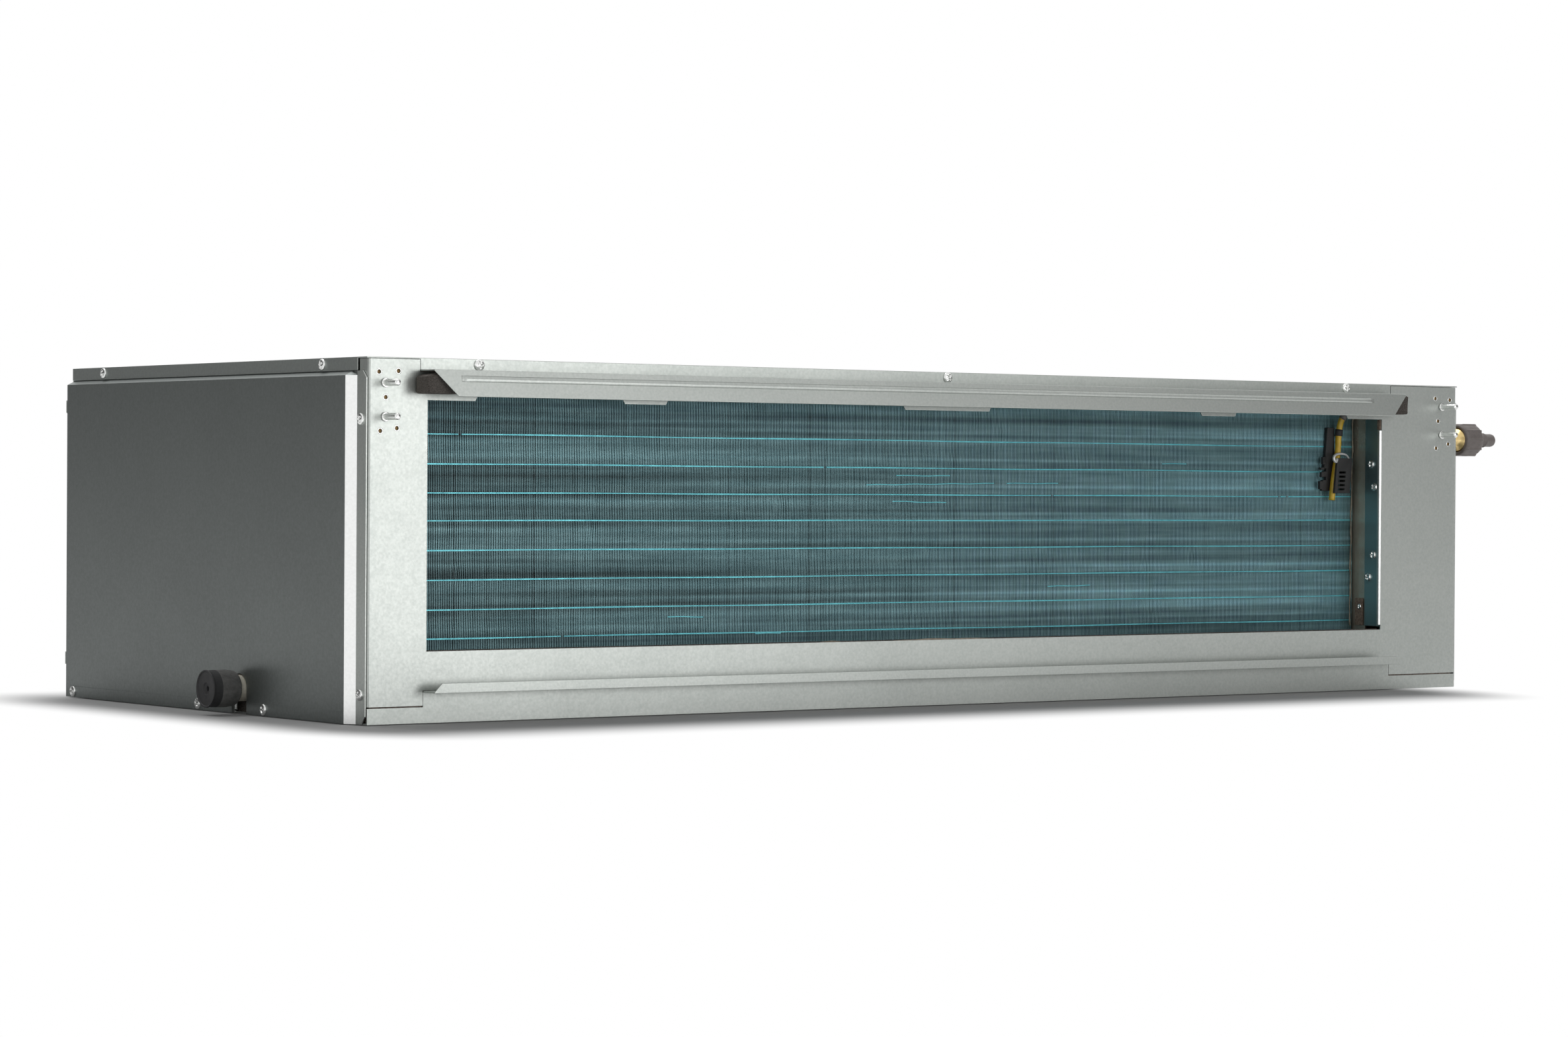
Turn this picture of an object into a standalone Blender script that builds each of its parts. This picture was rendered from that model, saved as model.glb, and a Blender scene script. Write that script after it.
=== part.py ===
"""Ducted indoor unit of a variable refrigerant flow system, built as an assembly.

The origin is the centre of the casing's underside.  X runs along the unit, from the drain end to the
pipe end; Y runs from the supply outlet at the front to the return inlet at the rear; Z is up.
All sizes are in metres.
"""

import math

import bmesh
import bpy
from mathutils import Matrix, Vector

# Casing
CASING_WIDTH = 1.092
CASING_DEPTH = 0.456
CASING_HEIGHT = 0.260
SHEET = 0.001              # galvanised sheet
SEAT = 0.0003              # gap between seated pieces
BEND_RADIUS = 0.0016

# Supply outlet window in the front panel
WINDOW_LEFT = 0.050        # width of the left post
WINDOW_RIGHT = 0.091       # width of the right post
WINDOW_SILL = 0.051
WINDOW_HEAD = 0.022        # from the top of the casing down to the window's head
TAB_DROP = 0.008
TAB_END_WIDTH = 0.040
TAB_MID_WIDTH = 0.0365
TAB_CENTRE_WIDTH = 0.084
TAB_MID_OFFSET = 0.287     # from the window's centre
TAB_SLANT = 0.005
WINDOW_RETURN = 0.005      # depth of the flange folded in at each side of the window
PANEL_RETURN = 0.012       # part of the front panel folded back behind the side panels

# Duct flanges at the supply outlet
FLANGE_LEFT = 0.044        # where the flanges start, from the casing's left side
FLANGE_RIGHT = 0.081       # where they end, from its right side
TOP_BAND = 0.0085
TOP_LEDGE = 0.019
TOP_STRIP = 0.019
TOP_STRIP_LEAN = 0.004
BOTTOM_RAIL = 0.022
BOTTOM_RAIL_LOW = 0.0115
BOTTOM_LEDGE = 0.016
BOTTOM_LIP = 0.0068
SKIRT = 0.0095             # top cover's side and rear skirts
FLOOR_FLANGE = 0.011       # bottom plate's side and rear flanges

# Side panels: a raised tray with a flange at its front
TRAY_RAISE = 0.0053
TRAY_FLANGE = 0.0133
TRAY_SLOPE = 0.0077
TRAY_TOP_SLOPE = 0.0032
REAR_RETURN = 0.012

# Studs and pilot holes in the front panel's posts
STUD_RADIUS = 0.0025
STUD_LENGTH = 0.0175
STUD_COLLAR_RADIUS = 0.0032
STUD_COLLAR = 0.0012
STUD_LEFT_INSET = 0.015
STUD_RIGHT_INSET = 0.019
STUD_TOP_DROP = 0.0182
STUD_SPACING = 0.0241
PILOT_RADIUS = 0.00155

# Coil
COIL_FACE = 0.035          # depth of the coil's face behind the front panel
COIL_BASE = 0.0371
TUBE_PITCH = 0.0212
COIL_HEADROOM = 0.0100      # least room between the coil and the lid
ROW_PITCH = 0.0182
COIL_ROWS = 2
TUBE_RADIUS = 0.0035
FIN_PITCH = 0.016
FIN_GROOVE = 0.005
COIL_LEFT = 0.024          # left end plate, from the casing's left side
END_PLATE = 0.0012
END_PLATE_FRONT = 0.014    # how far the end plates stand out before the fins
END_PLATE_REAR = 0.004
BAFFLE_HEAD = 0.0145       # from the top band down to the baffle, where the sensor lead passes

# Drain pan, spout and plug
PAN_FRONT_LIP = 0.0535
PAN_REAR_LIP = 0.034
PAN_FLOOR = 0.020
PAN_WALL = 0.008
PAN_DEPTH = 0.1892
PAN_SIDE_GAP = 0.004
SPOUT_DEPTH = 0.172
SPOUT_HEIGHT = 0.019
SPOUT_RADIUS = 0.0098
SPOUT_BORE = 0.0078
PLUG_RADIUS = 0.014
PLUG_LENGTH = 0.0245
PLUG_OVERHANG = 0.0285     # plug's outer face, from the raised side panel
PLUG_DIMPLE = 0.00175
PLUG_END = 0.0065          # thickness of the plug's closed end
NOTCH_MARGIN = 0.0009

# Fans
FAN_WALL = 0.190           # depth of the fan deck behind the front panel
FAN_DEPTH = 0.330
FAN_DROP = 0.132            # fan axis, from the top of the casing
WHEEL_CLEARANCE = 0.050     # under the wheels
WHEEL_REAR_CLEARANCE = 0.048   # behind the wheels
BLADE_DEPTH = 0.014
WHEEL_WIDTH = 0.236
WHEEL_RING = 0.006
BLADES = 20
BLADE_THICKNESS = 0.0016
BLADE_SWEEP = 0.17         # angle between a blade's inner and outer edge
HUB_RADIUS = 0.013
HUB_LENGTH = 0.044
SHAFT_RADIUS = 0.005
SCROLL_WALL = 0.0025
SCROLL_WIDTH = 0.266
SCROLL_GAP = 0.008         # between the wheel and the scroll's tongue
SCROLL_HEADROOM = 0.013     # between a fan housing's outlet and the top of the casing
TONGUE_ANGLE = math.radians(-20.0)
INLET_OVERLAP = 0.003       # the inlet is smaller than the inside of the blades
INLET_COLLAR = 0.006
INLET_LIP = 0.006
SCROLL_STEPS = 18
DECK_FLANGE = 0.014
SHAFT_END = 0.004          # shaft beyond the outer wheel hubs
FAN_CLEARANCE = 0.016      # between a fan housing and the end of the motor's boss

# Motor and its cradle
MOTOR_RADIUS = 0.052
MOTOR_LENGTH = 0.088
BOSS_RADIUS = 0.016
BOSS_LENGTH = 0.013
RING_RADIUS = 0.023
RING_WIDTH = 0.010
RING_GAP = 0.0015          # between a rubber ring and the motor's end
CHEEK = 0.005
CRADLE_DROP = 0.006        # from the motor down to the cradle's shelf
CRADLE_TALL = 0.044        # cradle's back plate
CRADLE_SHEET = 0.002
STRAP = 0.002
STRAP_FOOT = 0.012

# Return inlet, filter rails and filters
INLET_SIDE = 0.030
INLET_PIPE_SIDE = 0.112
INLET_EDGE = 0.026
INLET_FOLD = 0.010
FILTER_THICKNESS = 0.008
FILTER_BORDER = 0.012
FILTER_PLAY = 0.0008
FILTER_CELLS = 5
FILTER_LATTICE = (2, 3)     # openings in each cell's backing, across and up
FILTER_BAR = 0.003
FILTER_NET = 0.0012
RAIL_LIP = 0.010
FILTER_GAP = 0.002         # between the two filters

# Pipe end
BULKHEAD = 0.0884          # pipe compartment's wall, from the casing's right side
LIQUID_DEPTH = 0.078
LIQUID_DROP = 0.045         # from the top of the casing
GAS_DEPTH = 0.138
GAS_DROP = 0.092
PIPE_REACH = 0.0800        # sealing nuts' inner face, from the casing's right side
LIQUID_PIPE = 0.00475
GAS_PIPE = 0.00795
LIQUID_NUT = 0.014
GAS_NUT = 0.0185
NUT_LENGTH = 0.024
STUB_LENGTH = 0.023
PIPE_HOLE_MARGIN = 0.004
NUT_WALL = 0.0029
NUT_RIBS = 10
UNION_LENGTH = 0.016
UNION_SOCKET = 0.007
UNION_LIP = 0.0015
HEADER_OUT = 0.034
HEADER_RADIUS = 0.0095
VALVE_OUT = 0.056
VALVE_DEPTH = 0.165
VALVE_DROP = 0.110
VALVE_STEM = 0.022
VALVE_BODY = 0.009
VALVE_TALL = 0.076
VALVE_COIL = 0.0175
VALVE_COIL_TALL = 0.022
CAPILLARY = 0.0015
CAPILLARY_OUT = 0.020

# Drain pump and float
PUMP_OUT = 0.052
PUMP_DEPTH = 0.106
PUMP_RADIUS = 0.024
PUMP_INTAKE = 0.012
PUMP_TALL = 0.094
PUMP_SPOUT = 0.008
PUMP_OUTLET_HEIGHT = 0.062
FLOAT_OUT = 0.034
FLOAT_DEPTH = 0.160
FLOAT_STEM = 0.0025
FLOAT_RADIUS = 0.010
FLOAT_TALL = 0.012

# Control box
BOX_START = 0.206
BOX_LENGTH = 0.228
BOX_BASE = 0.030
BOX_DROP = 0.034            # from the top of the casing
BOX_OUT = 0.066
BOARD_THICKNESS = 0.0016
STANDOFF = 0.010
BOARD_EDGE = 0.010
BOARD_FOOT = 0.052         # room under the board for the terminal block and glands
GLAND_RADIUS = 0.0095
TERMINALS = 6
TERMINAL_PITCH = 0.012
LID_RIM = 0.010

# Sensor on the coil's face
CLIP_LEFT = 0.962
CLIP_WIDTH = 0.0145
CLIP_DROP = 0.093           # clip's foot, from the top of the casing
CLIP_TALL = 0.056
CLIP_THICKNESS = 0.003
CLIP_COVER = 0.0025
CLIP_COVER_WIDTH = 0.0205
CLIP_COVER_SHIFT = 0.0095     # cover's left edge, from the clip's
CLIP_COVER_TALL = 0.030
CABLE_RADIUS = 0.0026
CABLE_HOLE = 0.0045
CABLE_HOLE_DEPTH = 0.250
CABLE_HOLE_DROP = 0.046
LEAD_OUT = 0.070           # sensor lead's run along the pipe compartment

# Planes that several pieces share
LEFT = -CASING_WIDTH / 2
RIGHT = CASING_WIDTH / 2
FRONT = -CASING_DEPTH / 2
REAR = CASING_DEPTH / 2
TOP = CASING_HEIGHT
LAYER = SHEET + SEAT                     # one seated sheet
TUBES_PER_ROW = int((CASING_HEIGHT - COIL_BASE - COIL_HEADROOM) / TUBE_PITCH)
COIL_HEIGHT = TUBES_PER_ROW * TUBE_PITCH
COIL_DEPTH = COIL_ROWS * ROW_PITCH
COIL_TOP = COIL_BASE + COIL_HEIGHT
BULKHEAD_X = RIGHT - BULKHEAD            # face of the bulkhead that meets the air
END_PLATE_X = LEFT + COIL_LEFT
FAN_WALL_Y = FRONT + FAN_WALL
FAN_Y = FRONT + FAN_DEPTH
MOTOR_X = (LEFT + BULKHEAD_X) / 2
FAN_HEIGHT = CASING_HEIGHT - FAN_DROP
WHEEL_RADIUS = min(FAN_HEIGHT - WHEEL_CLEARANCE, CASING_DEPTH - FAN_DEPTH - WHEEL_REAR_CLEARANCE)
WHEEL_INNER = WHEEL_RADIUS - BLADE_DEPTH
INLET_RADIUS = WHEEL_INNER - INLET_OVERLAP
SCROLL_TOP = CASING_HEIGHT - SCROLL_HEADROOM - FAN_HEIGHT   # radius where the scroll turns into the outlet
LIQUID_HEIGHT = CASING_HEIGHT - LIQUID_DROP
GAS_HEIGHT = CASING_HEIGHT - GAS_DROP
VALVE_BASE = CASING_HEIGHT - VALVE_DROP
BOX_HEIGHT = CASING_HEIGHT - BOX_DROP - BOX_BASE
CLIP_BASE_HEIGHT = CASING_HEIGHT - CLIP_DROP
CABLE_HOLE_HEIGHT = CASING_HEIGHT - CABLE_HOLE_DROP
FAN_OFFSET = MOTOR_LENGTH / 2 + BOSS_LENGTH + FAN_CLEARANCE + INLET_LIP + SCROLL_WIDTH / 2
WINDOW_X0 = LEFT + WINDOW_LEFT
WINDOW_X1 = RIGHT - WINDOW_RIGHT
WINDOW_TOP = TOP - WINDOW_HEAD
REAR_SKIRT_Y = REAR - LAYER              # outer face of the top and bottom rear flanges
SIDE_REAR_Y = REAR_SKIRT_Y - LAYER       # outer face of the side panels' rear returns
TRAY_X = LEFT - TRAY_RAISE

PARTS = "ducted_indoor_unit"
CUTTERS = "cutters"
MATERIALS = {
    "galvanised": ((0.62, 0.65, 0.63), 1.0, 0.38),
    "zinc_bright": ((0.78, 0.79, 0.78), 1.0, 0.22),
    "baffle_zinc": ((0.24, 0.33, 0.34), 1.0, 0.30),
    "fin_aluminium": ((0.34, 0.56, 0.60), 1.0, 0.42),
    "copper": ((0.72, 0.40, 0.26), 1.0, 0.32),
    "brass": ((0.74, 0.57, 0.28), 1.0, 0.30),
    "pan_foam": ((0.26, 0.21, 0.18), 0.0, 0.90),
    "seal_foam": ((0.09, 0.08, 0.07), 0.0, 0.95),
    "spout_plastic": ((0.76, 0.73, 0.64), 0.0, 0.45),
    "rubber": ((0.035, 0.036, 0.037), 0.0, 0.70),
    "grey_plastic": ((0.23, 0.20, 0.19), 0.0, 0.55),
    "black_plastic": ((0.018, 0.018, 0.019), 0.0, 0.48),
    "white_plastic": ((0.70, 0.70, 0.67), 0.0, 0.50),
    "wheel_plastic": ((0.05, 0.052, 0.055), 0.0, 0.45),
    "sensor_yellow": ((0.80, 0.50, 0.04), 0.0, 0.42),
    "board_green": ((0.03, 0.16, 0.08), 0.0, 0.50),
    "motor_paint": ((0.30, 0.32, 0.33), 0.3, 0.45),
}


def clear_scene():
    """Remove every object, so that the model starts from nothing."""
    for thing in list(bpy.data.objects):
        bpy.data.objects.remove(thing, do_unlink=True)


def collection(name):
    """Return the named collection, linked to the scene."""
    found = bpy.data.collections.get(name)
    if found is None:
        found = bpy.data.collections.new(name)
        bpy.context.scene.collection.children.link(found)
    return found


def material(name):
    """Return a Principled material with the named finish."""
    found = bpy.data.materials.get(name)
    if found is None:
        colour, metallic, roughness = MATERIALS[name]
        found = bpy.data.materials.new(name)
        found.use_nodes = True
        shader = found.node_tree.nodes["Principled BSDF"]
        shader.inputs["Base Color"].default_value = (*colour, 1.0)
        shader.inputs["Metallic"].default_value = metallic
        shader.inputs["Roughness"].default_value = roughness
    return found


def place(name, mesh, finish=None):
    """Make an object of a mesh: a part if it has a finish, otherwise a cutter."""
    thing = bpy.data.objects.new(name, mesh)
    if finish is None:
        collection(CUTTERS).objects.link(thing)
        thing.hide_render = True
        thing.display_type = "WIRE"
    else:
        collection(PARTS).objects.link(thing)
        mesh.materials.clear()
        mesh.materials.append(material(finish))
    return thing


def to_mesh(name, bm):
    """Turn a bmesh into a mesh whose faces point outwards."""
    bmesh.ops.recalc_face_normals(bm, faces=bm.faces)
    mesh = bpy.data.meshes.new(name)
    bm.to_mesh(mesh)
    bm.free()
    return mesh


def block(name, low, high, finish=None, bevel=0.0):
    """A rectangular block between two corners, with optional rounded edges."""
    low, high = Vector(low), Vector(high)
    bm = bmesh.new()
    bmesh.ops.create_cube(bm, size=1.0)
    bmesh.ops.scale(bm, vec=high - low, verts=bm.verts)
    bmesh.ops.translate(bm, vec=(low + high) / 2, verts=bm.verts)
    thing = place(name, to_mesh(name, bm), finish)
    if bevel:
        round_edges(thing, bevel)
    return thing


def cylinder(name, start, end, radius, finish=None, sides=24, end_radius=None):
    """A cylinder, or a cone if end_radius is given, between two points."""
    start, end = Vector(start), Vector(end)
    along = end - start
    bm = bmesh.new()
    bmesh.ops.create_cone(
        bm, cap_ends=True, segments=sides, radius1=radius,
        radius2=radius if end_radius is None else end_radius, depth=along.length,
    )
    turn = Vector((0, 0, 1)).rotation_difference(along.normalized()).to_matrix().to_4x4()
    bmesh.ops.transform(bm, matrix=Matrix.Translation((start + end) / 2) @ turn, verts=bm.verts)
    return place(name, to_mesh(name, bm), finish)


def in_plane(axis, along, point):
    """Put a flat (a, b) point into space, with the given place along an axis."""
    first, second = point
    return {"X": (along, first, second), "Y": (first, along, second), "Z": (first, second, along)}[axis]


def prism(name, axis, outline, start, end, finish=None):
    """A closed flat outline extruded along an axis."""
    bm = bmesh.new()
    base = bm.faces.new([bm.verts.new(in_plane(axis, start, point)) for point in outline])
    swept = bmesh.ops.extrude_face_region(bm, geom=[base])
    moved = [item for item in swept["geom"] if isinstance(item, bmesh.types.BMVert)]
    step = Vector(in_plane(axis, end, (0, 0))) - Vector(in_plane(axis, start, (0, 0)))
    bmesh.ops.translate(bm, vec=step, verts=moved)
    return place(name, to_mesh(name, bm), finish)


def fold(name, axis, path, start, end, finish=None, thickness=SHEET, inward=True, bend=BEND_RADIUS):
    """A folded sheet: an open path, drawn on the sheet's outer face and extruded along an axis.

    Solidify gives it its thickness, to the left of the path as it is walked when inward is true,
    and Bevel rounds its folds.
    """
    bm = bmesh.new()
    rows = [[bm.verts.new(in_plane(axis, along, point)) for point in path] for along in (start, end)]
    for step in range(len(path) - 1):
        bm.faces.new((rows[0][step], rows[0][step + 1], rows[1][step + 1], rows[1][step]))
    mesh = bpy.data.meshes.new(name)
    bm.to_mesh(mesh)
    bm.free()
    thing = place(name, mesh, finish)
    if bend:
        rounding = thing.modifiers.new("bends", "BEVEL")
        rounding.width = bend
        rounding.segments = 2
        rounding.limit_method = "ANGLE"
        rounding.angle_limit = math.radians(30)
    shell = thing.modifiers.new("sheet", "SOLIDIFY")
    shell.thickness = thickness
    shell.offset = -1.0 if inward else 1.0
    shell.use_even_offset = True
    return thing


def turned(name, profile, finish=None, steps=24, origin=(0, 0, 0), axis="X"):
    """A turned piece: (along, radius) points of a closed section, spun about an axis with Screw."""
    loop = profile[1:] + profile[:1]
    area = sum(r0 * a1 - r1 * a0 for (a0, r0), (a1, r1) in zip(profile, loop))
    if area > 0:
        profile = profile[::-1]
    bm = bmesh.new()
    verts = [bm.verts.new((radius, 0.0, along)) for along, radius in profile]
    closed = all(radius > 0 for _, radius in profile)
    for first, second in zip(verts, verts[1:] + (verts[:1] if closed else [])):
        bm.edges.new((first, second))
    mesh = bpy.data.meshes.new(name)
    bm.to_mesh(mesh)
    bm.free()
    thing = place(name, mesh, finish)
    screw = thing.modifiers.new("turn", "SCREW")
    screw.axis = "Z"
    screw.steps = screw.render_steps = steps
    screw.use_merge_vertices = True
    screw.merge_threshold = 0.00002
    screw.use_smooth_shade = True
    thing.location = origin
    if axis == "X":
        thing.rotation_euler = (0.0, math.radians(90), 0.0)
    elif axis == "Y":
        thing.rotation_euler = (math.radians(-90), 0.0, 0.0)
    return thing


def smooth_route(points, spacing):
    """Points at an even spacing on a smooth curve through the given ones."""
    points = [Vector(point) for point in points]
    ends = [2 * points[0] - points[1]] + points + [2 * points[-1] - points[-2]]
    route = []
    for before, start, stop, after in zip(ends, ends[1:], ends[2:], ends[3:]):
        count = max(1, round((stop - start).length / spacing))
        for step in range(count):
            t = step / count
            route.append(0.5 * (2 * start + (stop - before) * t
                                + (2 * before - 5 * start + 4 * stop - after) * t ** 2
                                + (3 * start - before - 3 * stop + after) * t ** 3))
    return route + [points[-1]]


def tube(name, points, radius, finish=None, sides=8):
    """A round tube along a route: a bevelled curve made into a closed mesh."""
    curve = bpy.data.curves.new(name, "CURVE")
    curve.dimensions = "3D"
    curve.bevel_depth = radius
    curve.bevel_resolution = (sides - 4) // 2
    curve.use_fill_caps = True
    spline = curve.splines.new("POLY")
    spline.points.add(len(points) - 1)
    for item, point in zip(spline.points, points):
        item.co = (*point, 1.0)
    guide = bpy.data.objects.new(name + "_curve", curve)
    bpy.context.scene.collection.objects.link(guide)
    bpy.context.view_layer.update()
    seen = guide.evaluated_get(bpy.context.evaluated_depsgraph_get())
    bm = bmesh.new()
    bm.from_mesh(bpy.data.meshes.new_from_object(seen))
    bpy.data.objects.remove(guide, do_unlink=True)
    bmesh.ops.remove_doubles(bm, verts=bm.verts, dist=0.00002)
    return place(name, to_mesh(name, bm), finish)


def round_edges(thing, width, segments=2, angle=40):
    """Round the edges of a piece that are sharper than an angle in degrees."""
    bevel = thing.modifiers.new("edges", "BEVEL")
    bevel.width = width
    bevel.segments = segments
    bevel.limit_method = "ANGLE"
    bevel.angle_limit = math.radians(angle)


def combine(thing, other, operation):
    """Add a Boolean with another object, which then counts as a cutter."""
    boolean = thing.modifiers.new(operation.lower(), "BOOLEAN")
    boolean.operation = operation
    boolean.solver = "EXACT"
    boolean.object = other
    return thing


def cut(thing, *cutters):
    """Take cutters away from a piece."""
    for cutter in cutters:
        combine(thing, cutter, "DIFFERENCE")
    return thing


def join(thing, *others):
    """Add solids to a piece."""
    for other in others:
        combine(thing, other, "UNION")
    return thing


def arc(centre, radius, start, end, steps):
    """Points on an arc in a plane, angles in radians."""
    return [
        (centre[0] + radius * math.cos(start + (end - start) * step / steps),
         centre[1] + radius * math.sin(start + (end - start) * step / steps))
        for step in range(steps + 1)
    ]


def make_bottom_plate():
    """Floor of the casing, with the outlet's lower duct flange and upturned sides and rear."""
    path = [
        (REAR_SKIRT_Y, FLOOR_FLANGE),
        (REAR_SKIRT_Y, 0.0),
        (FRONT, 0.0),
        (FRONT, BOTTOM_RAIL),
        (FRONT - BOTTOM_LEDGE, BOTTOM_RAIL),
        (FRONT - BOTTOM_LEDGE, BOTTOM_RAIL + BOTTOM_LIP),
    ]
    wing = TRAY_RAISE - LAYER
    bend = SHEET / 4
    plate = fold("bottom_plate", "X", path, LEFT - wing + bend, RIGHT + wing - bend, "galvanised", bend=0.0,
                 inward=False)
    front = FRONT - BOTTOM_LEDGE - SHEET
    tray_front = FRONT + TRAY_FLANGE + TRAY_SLOPE + SEAT
    tray_rear = SIDE_REAR_Y - SHEET - SEAT
    for side, sign in (("left", -1), ("right", 1)):
        edge = sign * CASING_WIDTH / 2
        start, end = sorted((edge + sign * wing, edge + sign * (wing - SHEET)))
        join(plate, block(f"floor_flange_{side}", (start, tray_front - SHEET, SHEET / 3),
                          (end, tray_rear + SHEET, FLOOR_FLANGE)))
        outer, far = edge - sign * LAYER, edge + sign * 0.02
        low, high = sorted((outer, far))
        cut(plate, block(f"floor_corner_{side}", (low, front, -SHEET), (high, tray_front, TOP / 2)))
        inner = edge - sign * (REAR_RETURN + SHEET)
        low, high = sorted((inner, far))
        cut(plate, block(f"floor_rear_{side}", (low, tray_rear, -SHEET), (high, REAR, TOP / 2)))
    low_left = LEFT + FLANGE_LEFT + BOTTOM_LIP / 2
    low_right = RIGHT - FLANGE_RIGHT
    slant = BOTTOM_LIP
    for side, inner, outer, lean in (("left", low_left, LEFT - 0.02, slant),
                                     ("right", low_right, RIGHT + 0.02, -slant)):
        outline = [
            (outer, BOTTOM_RAIL_LOW),
            (inner, BOTTOM_RAIL_LOW),
            (inner, BOTTOM_RAIL + SHEET / 2),
            (inner + lean * 1.2, BOTTOM_RAIL + BOTTOM_LIP + slant * 0.2 + SHEET / 2),
            (outer, BOTTOM_RAIL + BOTTOM_LIP + slant * 0.2 + SHEET / 2),
        ]
        cut(plate, prism(f"rail_end_{side}", "Y", outline, front, FRONT + 2 * SHEET))
    cut(plate, spout_notch("floor_notch"))
    return plate


def spout_notch(name):
    """Cutter for the notch, open at the bottom, that lets the drain spout through the drain-end side."""
    radius = SPOUT_RADIUS + NOTCH_MARGIN
    y = FRONT + SPOUT_DEPTH
    outline = arc((y, SPOUT_HEIGHT), radius, 0.0, math.pi, 12)
    outline += [(y - radius, -SHEET), (y + radius, -SHEET)]
    return prism(name, "X", outline, TRAY_X - 0.01, LEFT + PAN_SIDE_GAP - SEAT)


def make_top_cover():
    """Lid of the casing: skirts at the sides and rear, and the outlet's upper duct flange."""
    path = [
        (REAR_SKIRT_Y, TOP - SKIRT),
        (REAR_SKIRT_Y, TOP),
        (FRONT, TOP),
        (FRONT, TOP - TOP_BAND),
        (FRONT - TOP_LEDGE, TOP - TOP_BAND),
        (FRONT - TOP_LEDGE - TOP_STRIP_LEAN, TOP - TOP_BAND - TOP_STRIP),
    ]
    cover = fold("top_cover", "X", path, LEFT, RIGHT, "galvanised", bend=0.0)
    strip_low = TOP - TOP_BAND - TOP_STRIP
    front = FRONT - TOP_LEDGE - TOP_STRIP_LEAN - 2 * SHEET
    for side, inner, outer, lean in (("left", LEFT + FLANGE_LEFT, LEFT - 0.02, 1),
                                     ("right", RIGHT - FLANGE_RIGHT, RIGHT + 0.02, -1)):
        outline = [
            (outer, TOP - SHEET),
            (inner, TOP - SHEET),
            (inner, TOP - TOP_BAND - SHEET),
            (inner + lean * TOP_STRIP * 1.1, strip_low - TOP_STRIP * 0.1 - SHEET),
            (outer, strip_low - TOP_STRIP * 0.1 - SHEET),
        ]
        cut(cover, prism(f"strip_end_{side}", "Y", outline, front, FRONT + 2 * SHEET))
    for side, edge in (("left", LEFT), ("right", RIGHT)):
        inner = edge - math.copysign(SHEET, edge)
        join(cover, block(f"skirt_{side}", (min(edge, inner), FRONT + TRAY_FLANGE, TOP - SKIRT),
                          (max(edge, inner), REAR_SKIRT_Y, TOP)))
    return cover


def window_tabs():
    """The centre and bottom width of each tab that hangs into the window, from left to right."""
    centre = (WINDOW_X0 + WINDOW_X1) / 2
    return [
        (WINDOW_X0 + TAB_END_WIDTH / 2, TAB_END_WIDTH),
        (centre - TAB_MID_OFFSET, TAB_MID_WIDTH),
        (centre, TAB_CENTRE_WIDTH),
        (centre + TAB_MID_OFFSET, TAB_MID_WIDTH),
        (WINDOW_X1 - TAB_END_WIDTH / 2, TAB_END_WIDTH),
    ]


def window_outline():
    """The supply outlet's outline: a rectangle whose head steps down at the tabs."""
    outline = [(WINDOW_X1, WINDOW_SILL), (WINDOW_X0, WINDOW_SILL)]
    low = WINDOW_TOP - TAB_DROP
    tabs = window_tabs()
    for index, (centre, width) in enumerate(tabs):
        start, end = centre - width / 2, centre + width / 2
        outline += [(start, low)] if index == 0 else [(start - TAB_SLANT, WINDOW_TOP), (start, low)]
        outline += [(end, low)] if index == len(tabs) - 1 else [(end, low), (end + TAB_SLANT, WINDOW_TOP)]
    return outline


def pilot_places():
    """Places of the pilot holes in the two posts."""
    stud_z = TOP - STUD_TOP_DROP
    left, right = LEFT + STUD_LEFT_INSET, RIGHT - STUD_RIGHT_INSET
    low_z = stud_z - STUD_SPACING
    return [
        (left - 0.0051, stud_z + 0.0076), (left + 0.0109, stud_z + 0.0084), (left + 0.0004, stud_z - 0.0103),
        (left - 0.0040, low_z - 0.0101), (left + 0.0096, low_z - 0.0080),
        (right - 0.0075, stud_z + 0.0072), (right + 0.0100, stud_z + 0.0062), (right - 0.0040, stud_z - 0.0122),
        (right - 0.0063, low_z - 0.0114), (right + 0.0084, low_z - 0.0077),
    ]


def make_front_panel():
    """One-piece frame round the supply outlet, folded back behind the side panels' flanges."""
    inset = LAYER
    path = [
        (LEFT + inset, FRONT + PANEL_RETURN),
        (LEFT + inset, FRONT),
        (RIGHT - inset, FRONT),
        (RIGHT - inset, FRONT + PANEL_RETURN),
    ]
    low, high = BOTTOM_RAIL_LOW + SHEET, TOP - LAYER
    panel = fold("front_panel", "Z", path, low, high, "galvanised")
    near, far = FRONT - 2 * SHEET, FRONT + 2 * SHEET
    cut(panel, prism("window", "Y", window_outline(), near, far))
    cut(panel, block("panel_head", (LEFT + FLANGE_LEFT - SEAT, near, TOP - TOP_BAND - LAYER),
                     (RIGHT - FLANGE_RIGHT + SEAT, far, TOP)))
    cut(panel, block("panel_foot", (LEFT + FLANGE_LEFT + BOTTOM_LIP / 2 - SEAT, near, 0.0),
                     (RIGHT - FLANGE_RIGHT + SEAT, far, BOTTOM_RAIL + LAYER)))
    for side, edge, back in (("left", WINDOW_X0, -SHEET), ("right", WINDOW_X1, SHEET)):
        start, end = sorted((edge, edge + back))
        join(panel, block(f"window_return_{side}", (start, FRONT + SHEET / 2, PAN_FRONT_LIP + SEAT),
                          (end, FRONT + WINDOW_RETURN, WINDOW_TOP - TAB_DROP - 0.001)))
    for index, (x, z) in enumerate(pilot_places()):
        cut(panel, cylinder(f"pilot_{index}", (x, near, z), (x, far, z), PILOT_RADIUS, sides=8))
    return panel


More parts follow.
